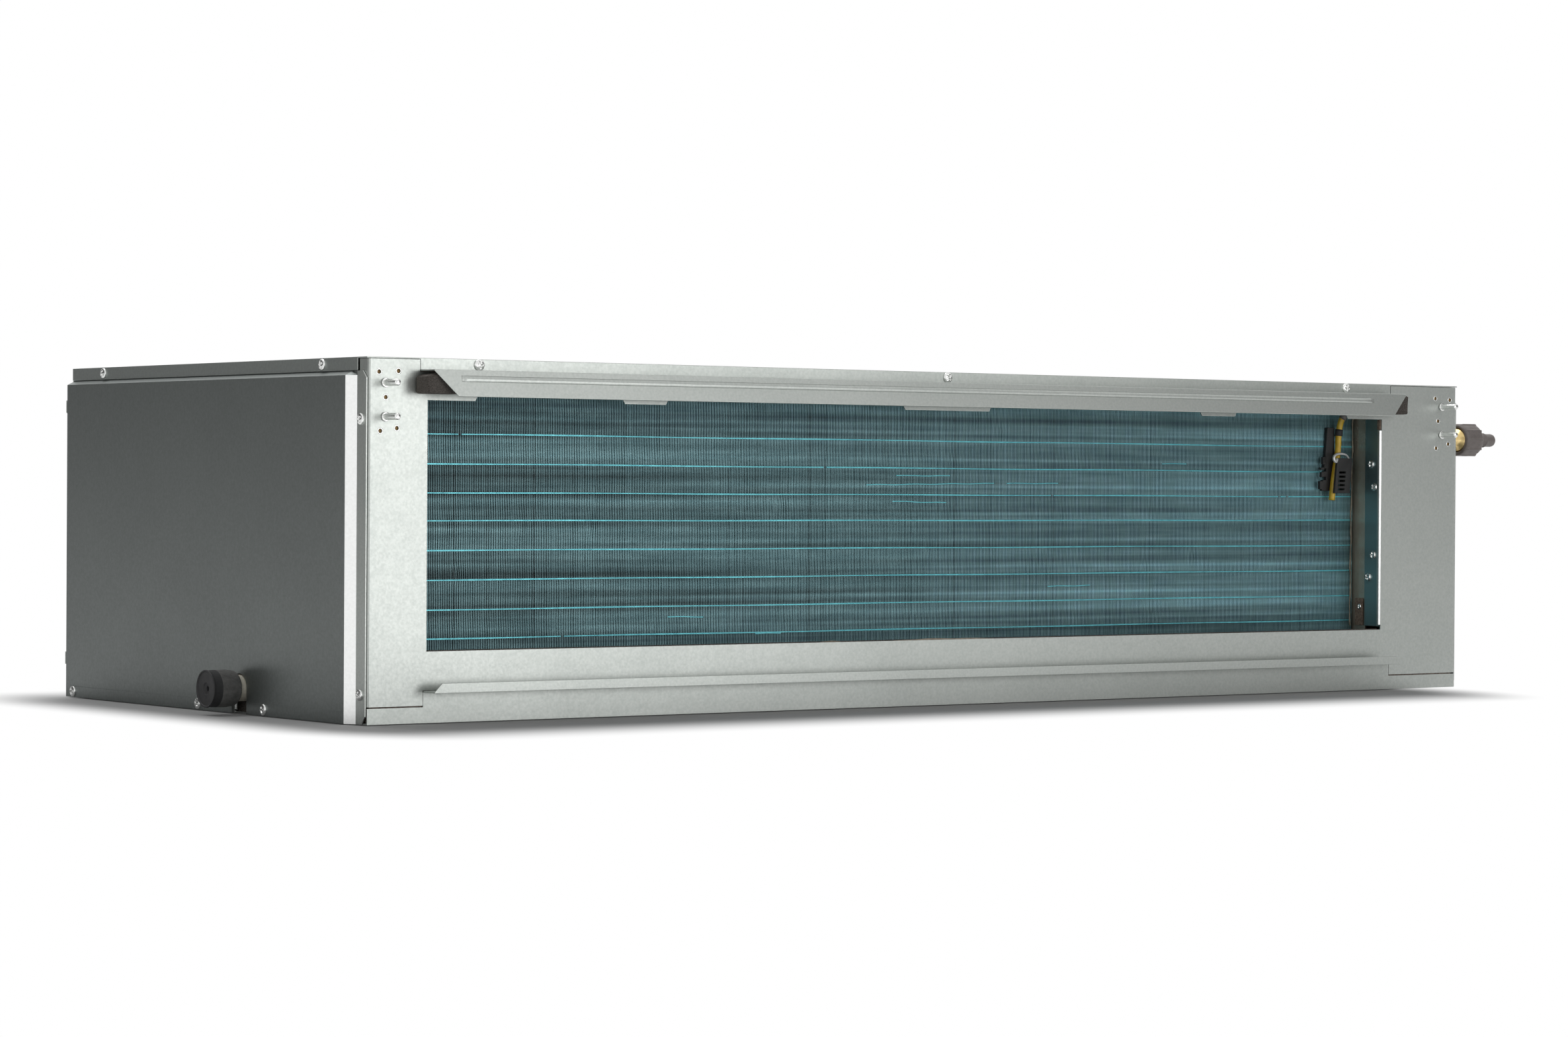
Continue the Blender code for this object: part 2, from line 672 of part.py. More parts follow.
def make_studs():
    """Four studs on the posts, which carry the duct or a hanger."""
    places = [(side, level, x, TOP - STUD_TOP_DROP - drop)
              for side, x in (("left", LEFT + STUD_LEFT_INSET), ("right", RIGHT - STUD_RIGHT_INSET))
              for level, drop in (("upper", 0.0), ("lower", STUD_SPACING))]
    for side, level, x, z in places:
        profile = [
            (0.0, 0.0), (0.0, STUD_COLLAR_RADIUS), (STUD_COLLAR, STUD_COLLAR_RADIUS),
            (STUD_COLLAR + 0.0006, STUD_RADIUS), (STUD_LENGTH - 0.0006, STUD_RADIUS),
            (STUD_LENGTH, STUD_RADIUS - 0.0006), (STUD_LENGTH, 0.0),
        ]
        stud = turned(f"stud_{side}_{level}", profile, "zinc_bright", steps=8,
                      origin=(x, FRONT - SEAT, z))
        stud.rotation_euler = (math.radians(90), 0.0, 0.0)


def make_side_panel(name, sign):
    """Side panel: a tray raised out of the casing's side, with a flange at its front and a rear return.

    Its sheet is a grid of folds; each grid line has a place and the sheet stands out inside the tray.
    """
    edge = sign * CASING_WIDTH / 2
    out = sign * TRAY_RAISE
    behind = -sign * LAYER
    y_lines = [FRONT + SHEET, FRONT + TRAY_FLANGE, FRONT + TRAY_FLANGE + TRAY_SLOPE, SIDE_REAR_Y]
    z_lines = [0.0, TOP - SKIRT - TRAY_TOP_SLOPE - SEAT, TOP - SKIRT - SEAT, TOP - LAYER - SHEET]
    bm = bmesh.new()

    def point(column, row):
        raised = {0: 0.0, 1: 0.0, 2: out, 3: out}[column]
        if column >= 2 and row >= 2:
            raised = behind
        return bm.verts.new((edge + raised, y_lines[column], z_lines[row]))

    grid = [[point(column, row) for row in range(4)] for column in range(4)]
    for column in range(3):
        for row in range(3):
            if row < 2 or column == 2:
                bm.faces.new((grid[column][row], grid[column + 1][row],
                              grid[column + 1][row + 1], grid[column][row + 1]))
    turn_in = -sign * REAR_RETURN
    tail = [bm.verts.new((edge + turn_in, SIDE_REAR_Y, z_lines[row])) for row in (0, 1)]
    bm.faces.new((grid[3][0], tail[0], tail[1], grid[3][1]))
    for column, row in ((0, 3), (1, 3)):
        bm.verts.remove(grid[column][row])
    if sign > 0:
        bmesh.ops.reverse_faces(bm, faces=bm.faces)
    mesh = bpy.data.meshes.new(name)
    bm.to_mesh(mesh)
    bm.free()
    panel = place(name, mesh, "galvanised")
    shell = panel.modifiers.new("sheet", "SOLIDIFY")
    shell.thickness = SHEET
    shell.offset = 1.0
    shell.use_even_offset = True
    corner = FRONT + SHEET
    low = [(corner - SHEET, -SHEET), (corner + 0.006, -SHEET), (corner - SHEET, 0.006 + SHEET)]
    high = [(corner - SHEET, z_lines[2] + SHEET), (corner - SHEET, z_lines[2] - 0.006),
            (corner + 0.006, z_lines[2] + SHEET)]
    near, far = sorted((edge + sign * 0.002, edge - sign * 0.004))
    cut(panel, prism(f"{name}_corner_low", "X", low, near, far),
        prism(f"{name}_corner_high", "X", high, near, far))
    return panel


def make_side_panels():
    """The drain-end panel has the spout's notch; the pipe-end panel has the pipe and cable holes."""
    left = make_side_panel("left_side_panel", -1)
    cut(left, spout_notch("panel_notch"))
    right = make_side_panel("right_side_panel", 1)
    for label, depth, height, radius in (
        ("liquid", LIQUID_DEPTH, LIQUID_HEIGHT, LIQUID_PIPE + PIPE_HOLE_MARGIN),
        ("gas", GAS_DEPTH, GAS_HEIGHT, GAS_PIPE + PIPE_HOLE_MARGIN),
        ("pump", PUMP_DEPTH, PUMP_OUTLET_HEIGHT, PUMP_SPOUT + SEAT),
        ("cable", CABLE_HOLE_DEPTH, CABLE_HOLE_HEIGHT, CABLE_HOLE),
    ):
        y = FRONT + depth
        cut(right, cylinder(f"{label}_hole", (RIGHT - 0.01, y, height), (RIGHT + 0.02, y, height), radius,
                            sides=14))


def make_rear_panel():
    """Return inlet's frame, with a stiffening fold round its opening."""
    low = (LEFT + SHEET, REAR - SHEET, SHEET)
    high = (RIGHT - SHEET, REAR, TOP - SHEET)
    panel = block("rear_panel", low, high, "galvanised")
    x0, x1 = LEFT + INLET_SIDE, RIGHT - INLET_PIPE_SIDE
    z0, z1 = INLET_EDGE, TOP - INLET_EDGE
    join(panel, block("inlet_fold", (x0 - SHEET, REAR - INLET_FOLD, z0 - SHEET),
                      (x1 + SHEET, REAR - SHEET / 2, z1 + SHEET)))
    cut(panel, block("inlet_opening", (x0, REAR - 2 * INLET_FOLD, z0), (x1, REAR + INLET_FOLD, z1)))
    return panel


def make_filter_rails():
    """Channels above and below the return inlet, in which the filters slide out to the sides."""
    near = REAR + SEAT
    far = near + FILTER_THICKNESS + 2 * FILTER_PLAY + 2 * SHEET
    x0, x1 = LEFT + SHEET, RIGHT - SHEET
    for name, back, lip in (
        ("filter_rail_lower", INLET_EDGE - SHEET, 1),
        ("filter_rail_upper", TOP - INLET_EDGE + SHEET, -1),
    ):
        path = [(near, back + lip * RAIL_LIP), (near, back), (far, back), (far, back + lip * RAIL_LIP)]
        if lip < 0:
            path.reverse()
        fold(name, "X", path, x0, x1, "galvanised", bend=0.0)


def lattice(name, low, high):
    """Blocks that cut a filter cell's backing into a lattice, with bars between and round them."""
    blocks = []
    pitch = [(high[axis] - low[axis] - FILTER_BAR) / count for axis, count in zip((0, 2), FILTER_LATTICE)]
    for across in range(FILTER_LATTICE[0]):
        for up in range(FILTER_LATTICE[1]):
            x = low[0] + FILTER_BAR + across * pitch[0]
            z = low[2] + FILTER_BAR + up * pitch[1]
            blocks.append(block(f"{name}_{across}_{up}", (x, low[1], z),
                                (x + pitch[0] - FILTER_BAR, high[1], z + pitch[1] - FILTER_BAR)))
    return join(blocks[0], *blocks[1:])


def make_filters():
    """Two filters, side by side: each a ribbed plastic frame with a lattice that carries its net."""
    y0 = REAR + SEAT + SHEET + FILTER_PLAY
    y1 = y0 + FILTER_THICKNESS
    z0 = INLET_EDGE + FILTER_PLAY
    z1 = TOP - INLET_EDGE - FILTER_PLAY
    middle = 0.0
    for side, x0, x1 in (
        ("left", LEFT + SHEET + FILTER_GAP, middle - FILTER_GAP / 2),
        ("right", middle + FILTER_GAP / 2, RIGHT - SHEET - FILTER_GAP),
    ):
        frame = block(f"filter_{side}", (x0, y0, z0), (x1, y1, z1), "black_plastic")
        width = (x1 - x0 - FILTER_BORDER) / FILTER_CELLS
        rib = FILTER_BORDER / 3
        for column in range(FILTER_CELLS):
            start = x0 + FILTER_BORDER / 2 + column * width
            low = (start + rib / 2, y0 + FILTER_THICKNESS / 3, z0 + FILTER_BORDER)
            high = (start + width - rib / 2, y1 + SHEET, z1 - FILTER_BORDER)
            cut(frame, block(f"filter_cell_{side}_{column}", low, high))
            cut(frame, lattice(f"filter_lattice_{side}_{column}", (low[0], y0 - SHEET, low[2]), high))
        net_y = y0 + FILTER_THICKNESS / 3 - FILTER_NET
        cut(frame, block(f"filter_front_{side}", (x0 + FILTER_BORDER / 2, y0 - SHEET, z0 + FILTER_BORDER / 2),
                         (x1 - FILTER_BORDER / 2, net_y, z1 - FILTER_BORDER / 2)))


def make_seals():
    """Foam blocks between the front panel and the upper duct flange, one at each end."""
    z1 = TOP - TOP_BAND - SHEET - SEAT
    z0 = z1 - TOP_STRIP + 0.003
    y0 = FRONT - TOP_LEDGE + SHEET + SEAT
    y1 = FRONT - SEAT
    reach, tuck = 0.005, 0.026
    for side, outer, inner in (
        ("left", LEFT + FLANGE_LEFT - reach, LEFT + FLANGE_LEFT + tuck),
        ("right", RIGHT - FLANGE_RIGHT + reach, RIGHT - FLANGE_RIGHT - tuck),
    ):
        start, end = sorted((outer, inner))
        block(f"outlet_seal_{side}", (start, y0, z0), (end, y1, z1), "seal_foam")


def make_coil():
    """Fin block: a comb outline, one tooth for each group of fins, run up the height of the coil."""
    x0 = END_PLATE_X + END_PLATE + SEAT
    x1 = BULKHEAD_X - SEAT
    y0 = FRONT + COIL_FACE
    teeth = round((x1 - x0) / FIN_PITCH)
    pitch = (x1 - x0) / teeth
    outline = []
    for tooth in range(teeth):
        start = x0 + tooth * pitch
        outline += [(start, y0), (start + pitch * 0.5, y0)]
        if tooth < teeth - 1:
            outline += [(start + pitch * 0.5, y0 + FIN_GROOVE), (start + pitch, y0 + FIN_GROOVE)]
    outline[-1] = (x1, y0)
    outline += [(x1, y0 + COIL_DEPTH), (x0, y0 + COIL_DEPTH)]
    return prism("coil_fins", "Z", outline, COIL_BASE, COIL_TOP, "fin_aluminium")


def tube_place(row, number):
    """Depth and height of a coil tube; the rows are staggered by half a pitch."""
    y = FRONT + COIL_FACE + ROW_PITCH * (row + 0.5)
    z = COIL_BASE + TUBE_PITCH * (number + 0.25 + 0.5 * (row % 2))
    return y, z


def return_bend(first, second, x, sign):
    """Route of a bend outside an end plate, between two tube places."""
    start, end = Vector((x, *first)), Vector((x, *second))
    half = (end - start) / 2
    reach = Vector((sign * half.length, 0, 0))
    straight = Vector((sign * 0.004, 0, 0))
    curve = [start + half + straight - half * math.cos(t) + reach * math.sin(t)
             for t in (math.pi * step / 4 for step in range(5))]
    return [start - straight / 8] + curve + [end - straight / 8]


def many_tubes(name, routes, radius, sides=6):
    """Several tubes as one cutter, to be joined to a piece."""
    bm = bmesh.new()
    for number, route in enumerate(routes):
        single = tube(f"{name}_{number}", route, radius, sides=sides)
        bm.from_mesh(single.data)
        bpy.data.objects.remove(single, do_unlink=True)
    return place(name, to_mesh(name, bm))


def make_end_plates():
    """Coil end plates, with the return bends brazed into them."""
    y0 = FRONT + COIL_FACE - END_PLATE_FRONT
    y1 = FRONT + COIL_FACE + COIL_DEPTH + END_PLATE_REAR
    z0, z1 = PAN_FLOOR + SEAT, TOP - LAYER
    left_x, right_x = END_PLATE_X, BULKHEAD_X
    left = block("coil_end_plate_left", (left_x, y0, z0), (left_x + END_PLATE, y1, z1), "zinc_bright")
    right = block("coil_end_plate_right", (right_x, y0, z0), (right_x + END_PLATE, y1, z1), "zinc_bright")
    rows = range(COIL_ROWS)
    half = TUBES_PER_ROW // 4 * 2 + 1
    left_pairs = [((row, low), (row, low + 1)) for row in rows for low in range(0, TUBES_PER_ROW - 1, 2)]
    right_pairs = [((row, low), (row, low + 1)) for row in rows for low in range(1, TUBES_PER_ROW - 2, 2)
                   if low != half]
    right_pairs += [((0, number), (1, number)) for number in (half, half + 1) if COIL_ROWS > 1]
    for plate, pairs, x, sign in ((left, left_pairs, left_x, -1),
                                  (right, right_pairs, right_x + END_PLATE, 1)):
        routes = [return_bend(tube_place(*first), tube_place(*second), x, sign) for first, second in pairs]
        join(plate, many_tubes(plate.name + "_bends", routes, TUBE_RADIUS))


def make_baffle():
    """Zinc plate that closes the air path between the window and the coil at the pipe end."""
    x0 = WINDOW_X1 + SHEET + SEAT
    block("side_baffle", (x0, FRONT + LAYER, PAN_FRONT_LIP + SEAT),
          (x0 + SHEET, FRONT + COIL_FACE - END_PLATE_FRONT - SEAT, TOP - TOP_BAND - BAFFLE_HEAD),
          "baffle_zinc")


def make_insulation():
    """Foam lining under the lid, between the coil's end plates."""
    block("lid_insulation",
          (END_PLATE_X + END_PLATE + SEAT, FRONT + COIL_FACE, COIL_TOP + SEAT),
          (BULKHEAD_X - SEAT, FAN_WALL_Y - SEAT, TOP - LAYER), "pan_foam")


def make_drain_pan():
    """Foam drain pan under the coil, with a high front lip, a trough and a sump at the drain end."""
    x0, x1 = LEFT + PAN_SIDE_GAP, RIGHT - PAN_SIDE_GAP
    y0, y1 = FRONT + LAYER + SEAT, FRONT + PAN_DEPTH
    outline = [
        (y0, LAYER), (y1, LAYER), (y1, PAN_REAR_LIP), (y0 + PAN_WALL, PAN_REAR_LIP),
        (y0 + PAN_WALL, PAN_FRONT_LIP), (y0, PAN_FRONT_LIP),
    ]
    pan = prism("drain_pan", "X", outline, x0, x1, "pan_foam")
    above = PAN_FRONT_LIP + SHEET
    cut(pan, block("pan_trough", (x0 + PAN_WALL, y0 + PAN_WALL, PAN_FLOOR),
                   (x1 - PAN_WALL, y1 - PAN_WALL, above)))
    sump = SPOUT_HEIGHT - SPOUT_BORE - 0.0005
    cut(pan, block("pan_sump", (x0 + PAN_WALL, y1 - PAN_WALL - 3 * SPOUT_RADIUS, sump),
                   (x0 + PAN_WALL + 6 * SPOUT_RADIUS, y1 - PAN_WALL, PAN_FLOOR + SHEET)))
    y = FRONT + SPOUT_DEPTH
    cut(pan, cylinder("pan_spout_bore", (x0 - SHEET, y, SPOUT_HEIGHT),
                      (x0 + PAN_WALL + SHEET, y, SPOUT_HEIGHT), SPOUT_RADIUS + SEAT, sides=24))
    return pan


def make_drain():
    """Gravity spout through the drain-end side, and the rubber plug pushed over it."""
    y = FRONT + SPOUT_DEPTH
    plug_x = TRAY_X - PLUG_OVERHANG
    start = plug_x + PLUG_END + SEAT
    length = LEFT + PAN_SIDE_GAP + PAN_WALL - start
    chamfer = 0.0008
    turned("drain_spout", [
        (0.0, SPOUT_BORE), (length, SPOUT_BORE), (length, SPOUT_RADIUS),
        (chamfer, SPOUT_RADIUS), (0.0, SPOUT_RADIUS - chamfer),
    ], "spout_plastic", origin=(start, y, SPOUT_HEIGHT))
    fit = SPOUT_RADIUS + SEAT
    edge = 0.0012
    turned("drain_plug", [
        (PLUG_END / 2, 0.0), (PLUG_END / 2, PLUG_DIMPLE), (0.0, PLUG_DIMPLE), (0.0, PLUG_RADIUS - edge),
        (edge, PLUG_RADIUS), (PLUG_LENGTH * 0.6, PLUG_RADIUS), (PLUG_LENGTH - edge, PLUG_RADIUS - edge),
        (PLUG_LENGTH, PLUG_RADIUS - 2 * edge), (PLUG_LENGTH, fit), (PLUG_END, fit), (PLUG_END, 0.0),
    ], "rubber", origin=(plug_x, y, SPOUT_HEIGHT), steps=20)


def tongue():
    """Radius of the scroll at its tongue, and the height of the outlet's floor."""
    radius = WHEEL_RADIUS + SCROLL_GAP
    return radius, FAN_HEIGHT - radius * math.sin(TONGUE_ANGLE)


def scroll_outline(extra):
    """Scroll of a fan housing: a spiral from the tongue under the wheel and up to the outlet's top."""
    start, _ = tongue()
    sweep = math.radians(270) - TONGUE_ANGLE
    growth = math.log(SCROLL_TOP / start) / sweep
    outline = []
    for step in range(SCROLL_STEPS + 1):
        turn = TONGUE_ANGLE + sweep * step / SCROLL_STEPS
        radius = start * math.exp(growth * (turn - TONGUE_ANGLE)) + extra
        outline.append((FAN_Y - radius * math.cos(turn), FAN_HEIGHT - radius * math.sin(turn)))
    return outline


def make_scroll(side, centre, upper):
    """One half of a fan housing: a hollow scroll with an outlet at the deck and an inlet at each side."""
    label = "upper" if upper else "lower"
    name = f"scroll_{label}_{side}"
    half = SCROLL_WIDTH / 2
    front = FAN_WALL_Y + SHEET + SEAT
    _, floor = tongue()
    roof = FAN_HEIGHT + SCROLL_TOP
    x0, x1 = centre - half, centre + half
    shell = prism(name, "X", scroll_outline(SCROLL_WALL), x0, x1, "black_plastic")
    join(shell, block(name + "_duct", (x0, front, floor - SCROLL_WALL), (x1, FAN_Y, roof + SCROLL_WALL)))
    axis = (FAN_Y, FAN_HEIGHT)
    join(shell, cylinder(name + "_collar", (x0 - INLET_LIP, *axis), (x1 + INLET_LIP, *axis),
                         INLET_RADIUS + INLET_COLLAR, sides=24))
    inner0, inner1 = x0 + SCROLL_WALL, x1 - SCROLL_WALL
    cut(shell, prism(name + "_hollow", "X", scroll_outline(0.0), inner0, inner1))
    cut(shell, block(name + "_throat", (inner0, front - SHEET, floor), (inner1, FAN_Y, roof)))
    cut(shell, cylinder(name + "_inlet", (x0 - 2 * INLET_LIP, *axis), (x1 + 2 * INLET_LIP, *axis),
                        INLET_RADIUS, sides=24))
    reach = SCROLL_TOP + 2 * SCROLL_WALL
    if upper:
        span = (FAN_HEIGHT - reach, FAN_HEIGHT + SEAT / 2)
    else:
        span = (FAN_HEIGHT - SEAT / 2, FAN_HEIGHT + reach)
    cut(shell, block(name + "_half", (x0 - 2 * INLET_LIP, front - SHEET, span[0]),
                     (x1 + 2 * INLET_LIP, FAN_Y + reach, span[1])))
    return shell


def blade_outline(angle):
    """Section of a forward-curved blade: a swept mean line with the blade's thickness about it."""
    steps = 2
    inner, outer = [], []
    for step in range(steps + 1):
        t = step / steps
        radius = WHEEL_INNER + (WHEEL_RADIUS - WHEEL_INNER) * t
        turn = angle + BLADE_SWEEP * t * t
        shift = BLADE_THICKNESS / 2 / radius
        inner.append((radius * math.cos(turn - shift), radius * math.sin(turn - shift)))
        outer.append((radius * math.cos(turn + shift), radius * math.sin(turn + shift)))
    return inner + outer[::-1]


def blade_set(name, length):
    """All the blades of a wheel as one cutter, centred on the wheel."""
    bm = bmesh.new()
    for number in range(BLADES):
        outline = blade_outline(2 * math.pi * number / BLADES)
        base = bm.faces.new([bm.verts.new((-length / 2, *point)) for point in outline])
        swept = bmesh.ops.extrude_face_region(bm, geom=[base])
        moved = [item for item in swept["geom"] if isinstance(item, bmesh.types.BMVert)]
        bmesh.ops.translate(bm, vec=(length, 0, 0), verts=moved)
    return place(name, to_mesh(name, bm))


def make_wheel(side, centre):
    """Double-inlet blower wheel: hub and disc in the middle, forward-curved blades, a ring at each end."""
    name = f"fan_wheel_{side}"
    origin = (centre, FAN_Y, FAN_HEIGHT)
    bore = SHAFT_RADIUS + SEAT
    disc = 0.0015
    wheel = turned(name, [
        (-HUB_LENGTH / 2, bore), (HUB_LENGTH / 2, bore), (HUB_LENGTH / 2, HUB_RADIUS),
        (disc, HUB_RADIUS + 0.003), (disc, WHEEL_INNER + 0.004), (-disc, WHEEL_INNER + 0.004),
        (-disc, HUB_RADIUS + 0.003), (-HUB_LENGTH / 2, HUB_RADIUS),
    ], "wheel_plastic", steps=BLADES, origin=origin)
    blades = blade_set(name + "_blades", WHEEL_WIDTH - WHEEL_RING)
    blades.location = origin
    join(wheel, blades)
    for end, sign in (("start", -1), ("end", 1)):
        face = sign * WHEEL_WIDTH / 2
        ring = turned(f"{name}_ring_{end}", [
            (face, WHEEL_INNER + 0.005), (face - sign * WHEEL_RING, WHEEL_INNER + 0.005),
            (face - sign * WHEEL_RING, WHEEL_RADIUS + 0.0015), (face, WHEEL_RADIUS + 0.0015),
        ], None, steps=BLADES, origin=origin)
        join(wheel, ring)
    return wheel


def make_fan_deck():
    """Wall between the fans and the coil, with an outlet for each fan."""
    z0, z1 = LAYER, TOP - LAYER
    path = [(FAN_WALL_Y + DECK_FLANGE, z0), (FAN_WALL_Y, z0), (FAN_WALL_Y, z1), (FAN_WALL_Y + DECK_FLANGE, z1)]
    deck = fold("fan_deck", "X", path, LEFT + 2 * LAYER + SEAT, BULKHEAD_X - SEAT, "galvanised", bend=0.0,
                inward=False)
    _, floor = tongue()
    half = SCROLL_WIDTH / 2 - SCROLL_WALL
    for side, centre in fan_centres():
        cut(deck, block(f"deck_outlet_{side}", (centre - half, FAN_WALL_Y - SHEET, floor),
                        (centre + half, FAN_WALL_Y + 2 * SHEET, FAN_HEIGHT + SCROLL_TOP)))
    return deck


def fan_centres():
    """Each fan's side and its place along the shaft."""
    return [("left", MOTOR_X - FAN_OFFSET), ("right", MOTOR_X + FAN_OFFSET)]


def make_fans():
    """Two blowers on one shaft."""
    for side, centre in fan_centres():
        for upper in (False, True):
            make_scroll(side, centre, upper)
        make_wheel(side, centre)
    reach = FAN_OFFSET + HUB_LENGTH / 2 + SHAFT_END
    tip = 0.0008
    turned("fan_shaft", [
        (-reach, 0.0), (-reach, SHAFT_RADIUS - tip), (-reach + tip, SHAFT_RADIUS),
        (reach - tip, SHAFT_RADIUS), (reach, SHAFT_RADIUS - tip), (reach, 0.0),
    ], "zinc_bright", steps=16, origin=(MOTOR_X, FAN_Y, FAN_HEIGHT))


def make_motor():
    """Double-shaft motor, its rubber rings, the cradle on the fan deck and the straps over the rings."""
    origin = (MOTOR_X, FAN_Y, FAN_HEIGHT)
    half, boss = MOTOR_LENGTH / 2, MOTOR_LENGTH / 2 + BOSS_LENGTH
    bore = SHAFT_RADIUS + SEAT
    shoulder = MOTOR_RADIUS * 0.55
    outer = [
        (boss, BOSS_RADIUS), (half, BOSS_RADIUS), (half, shoulder), (half - 0.010, MOTOR_RADIUS - 0.004),
        (half * 0.5, MOTOR_RADIUS - 0.004), (half * 0.5, MOTOR_RADIUS),
    ]
    profile = [(-boss, bore), (boss, bore)] + outer + [(-x, radius) for x, radius in reversed(outer)]
    turned("motor_body", profile, "motor_paint", steps=20, origin=origin)
    deck_y = FAN_WALL_Y + SHEET + SEAT
    shelf_z = FAN_HEIGHT - MOTOR_RADIUS - CRADLE_DROP
    far_y = FAN_Y + RING_RADIUS + STRAP_FOOT
    width = half + RING_GAP + RING_WIDTH
    path = [(deck_y, shelf_z + CRADLE_TALL), (deck_y, shelf_z), (far_y, shelf_z)]
    cradle = fold("motor_cradle", "X", path, MOTOR_X - width, MOTOR_X + width, "galvanised",
                  thickness=CRADLE_SHEET, bend=0.0)
    recess = arc((FAN_Y, FAN_HEIGHT), RING_RADIUS + SEAT, math.pi, 2 * math.pi, 12)
    cheek = [(deck_y + CRADLE_SHEET / 2, shelf_z + CRADLE_SHEET / 2),
             (deck_y + CRADLE_SHEET / 2, shelf_z + CRADLE_TALL / 2),
             (FAN_Y - RING_RADIUS - STRAP_FOOT, FAN_HEIGHT)] + recess
    cheek += [(far_y, FAN_HEIGHT), (far_y, shelf_z + CRADLE_SHEET / 2)]
    ring_mid = half + RING_GAP + RING_WIDTH / 2
    reach = RING_RADIUS + SEAT
    for side, sign in (("left", -1), ("right", 1)):
        middle = MOTOR_X + sign * ring_mid
        join(cradle, prism(f"cradle_cheek_{side}", "X", cheek, middle - CHEEK / 2, middle + CHEEK / 2))
        turned(f"motor_ring_{side}", [
            (-RING_WIDTH / 2, BOSS_RADIUS + SEAT), (RING_WIDTH / 2, BOSS_RADIUS + SEAT),
            (RING_WIDTH / 2, RING_RADIUS), (-RING_WIDTH / 2, RING_RADIUS),
        ], "rubber", origin=(middle, FAN_Y, FAN_HEIGHT))
        low = FAN_HEIGHT + SEAT
        rise = math.asin((STRAP + SEAT) / (reach + STRAP))
        base = math.asin(SEAT / reach)
        strap = arc((FAN_Y, FAN_HEIGHT), reach, base, math.pi - base, 10)
        strap += [(FAN_Y - reach - STRAP_FOOT, low), (FAN_Y - reach - STRAP_FOOT, low + STRAP)]
        strap += arc((FAN_Y, FAN_HEIGHT), reach + STRAP, math.pi - rise, rise, 10)
        strap += [(FAN_Y + reach + STRAP_FOOT, low + STRAP), (FAN_Y + reach + STRAP_FOOT, low)]
        prism(f"motor_strap_{side}", "X", strap, middle - RING_WIDTH / 2, middle + RING_WIDTH / 2,
              "zinc_bright")


def make_bulkhead():
    """Wall between the air path and the pipe compartment, standing on the drain pan and the floor."""
    x = BULKHEAD_X
    y0 = FRONT + COIL_FACE + COIL_DEPTH + END_PLATE_REAR + SEAT
    y1 = REAR_SKIRT_Y - SHEET - SEAT
    step = FRONT + PAN_DEPTH + SEAT
    outline = [(y0, PAN_REAR_LIP + SEAT), (step, PAN_REAR_LIP + SEAT), (step, LAYER), (y1, LAYER),
               (y1, TOP - LAYER), (y0, TOP - LAYER)]
    return prism("pipe_bulkhead", "X", outline, x, x + SHEET, "galvanised")


def ribbed_nut(name, y, z, radius, cavity, stub):
    """Sealing nut: a ribbed cup over the brass union, with shoulders and a closed stub."""
    x = RIGHT + PIPE_REACH
    soft = 0.0012
    shoulder = NUT_LENGTH - (radius - stub) * 0.55
    end = NUT_LENGTH + STUB_LENGTH
    bead = NUT_LENGTH + STUB_LENGTH * 0.42
    nut = turned(name, [
        (UNION_LENGTH + SEAT, 0.0), (UNION_LENGTH + SEAT, cavity), (0.0, cavity), (0.0, radius - soft),
        (soft, radius), (shoulder, radius), (NUT_LENGTH, stub + 0.003), (NUT_LENGTH, stub),
        (bead - soft, stub), (bead, stub + soft / 2), (bead + soft, stub), (end - stub * 0.7, stub),
        (end - stub * 0.25, stub * 0.8), (end, stub * 0.4), (end, 0.0),
    ], "grey_plastic", origin=(x, y, z), steps=16)
    bm = bmesh.new()
    for number in range(NUT_RIBS):
        turn = Matrix.Rotation(2 * math.pi * number / NUT_RIBS, 4, "X")
        rib = bmesh.ops.create_cube(bm, size=1.0)["verts"]
        bmesh.ops.scale(bm, vec=(shoulder - 3 * soft, 0.0022, 0.0024), verts=rib)
        bmesh.ops.translate(bm, vec=((shoulder + 3 * soft) / 2, 0.0, radius), verts=rib)
        bmesh.ops.transform(bm, matrix=turn, verts=rib)
    ribs = place(name + "_ribs", to_mesh(name + "_ribs", bm))
    ribs.location = (x, y, z)
    return join(nut, ribs)


def make_connections():
    """Brass unions on the two refrigerant pipes, each closed by a plastic sealing nut."""
    x = RIGHT + PIPE_REACH
    for label, depth, height, pipe, radius in (
        ("liquid", LIQUID_DEPTH, LIQUID_HEIGHT, LIQUID_PIPE, LIQUID_NUT),
        ("gas", GAS_DEPTH, GAS_HEIGHT, GAS_PIPE, GAS_NUT),
    ):
        y = FRONT + depth
        cavity = radius - NUT_WALL
        union = cavity - SEAT
        turned(f"{label}_union", [
            (0.0, pipe + SEAT), (UNION_SOCKET, pipe + SEAT), (UNION_SOCKET, pipe * 0.7),
            (UNION_LENGTH, pipe * 0.7), (UNION_LENGTH, pipe + 0.001), (UNION_LENGTH - 0.004, union),
            (UNION_LIP, union), (UNION_LIP, union - 0.001), (0.0, union - 0.001),
        ], "brass", origin=(x, y, height), steps=16)
        ribbed_nut(f"{label}_nut", y, height, radius, cavity, pipe + 0.001)


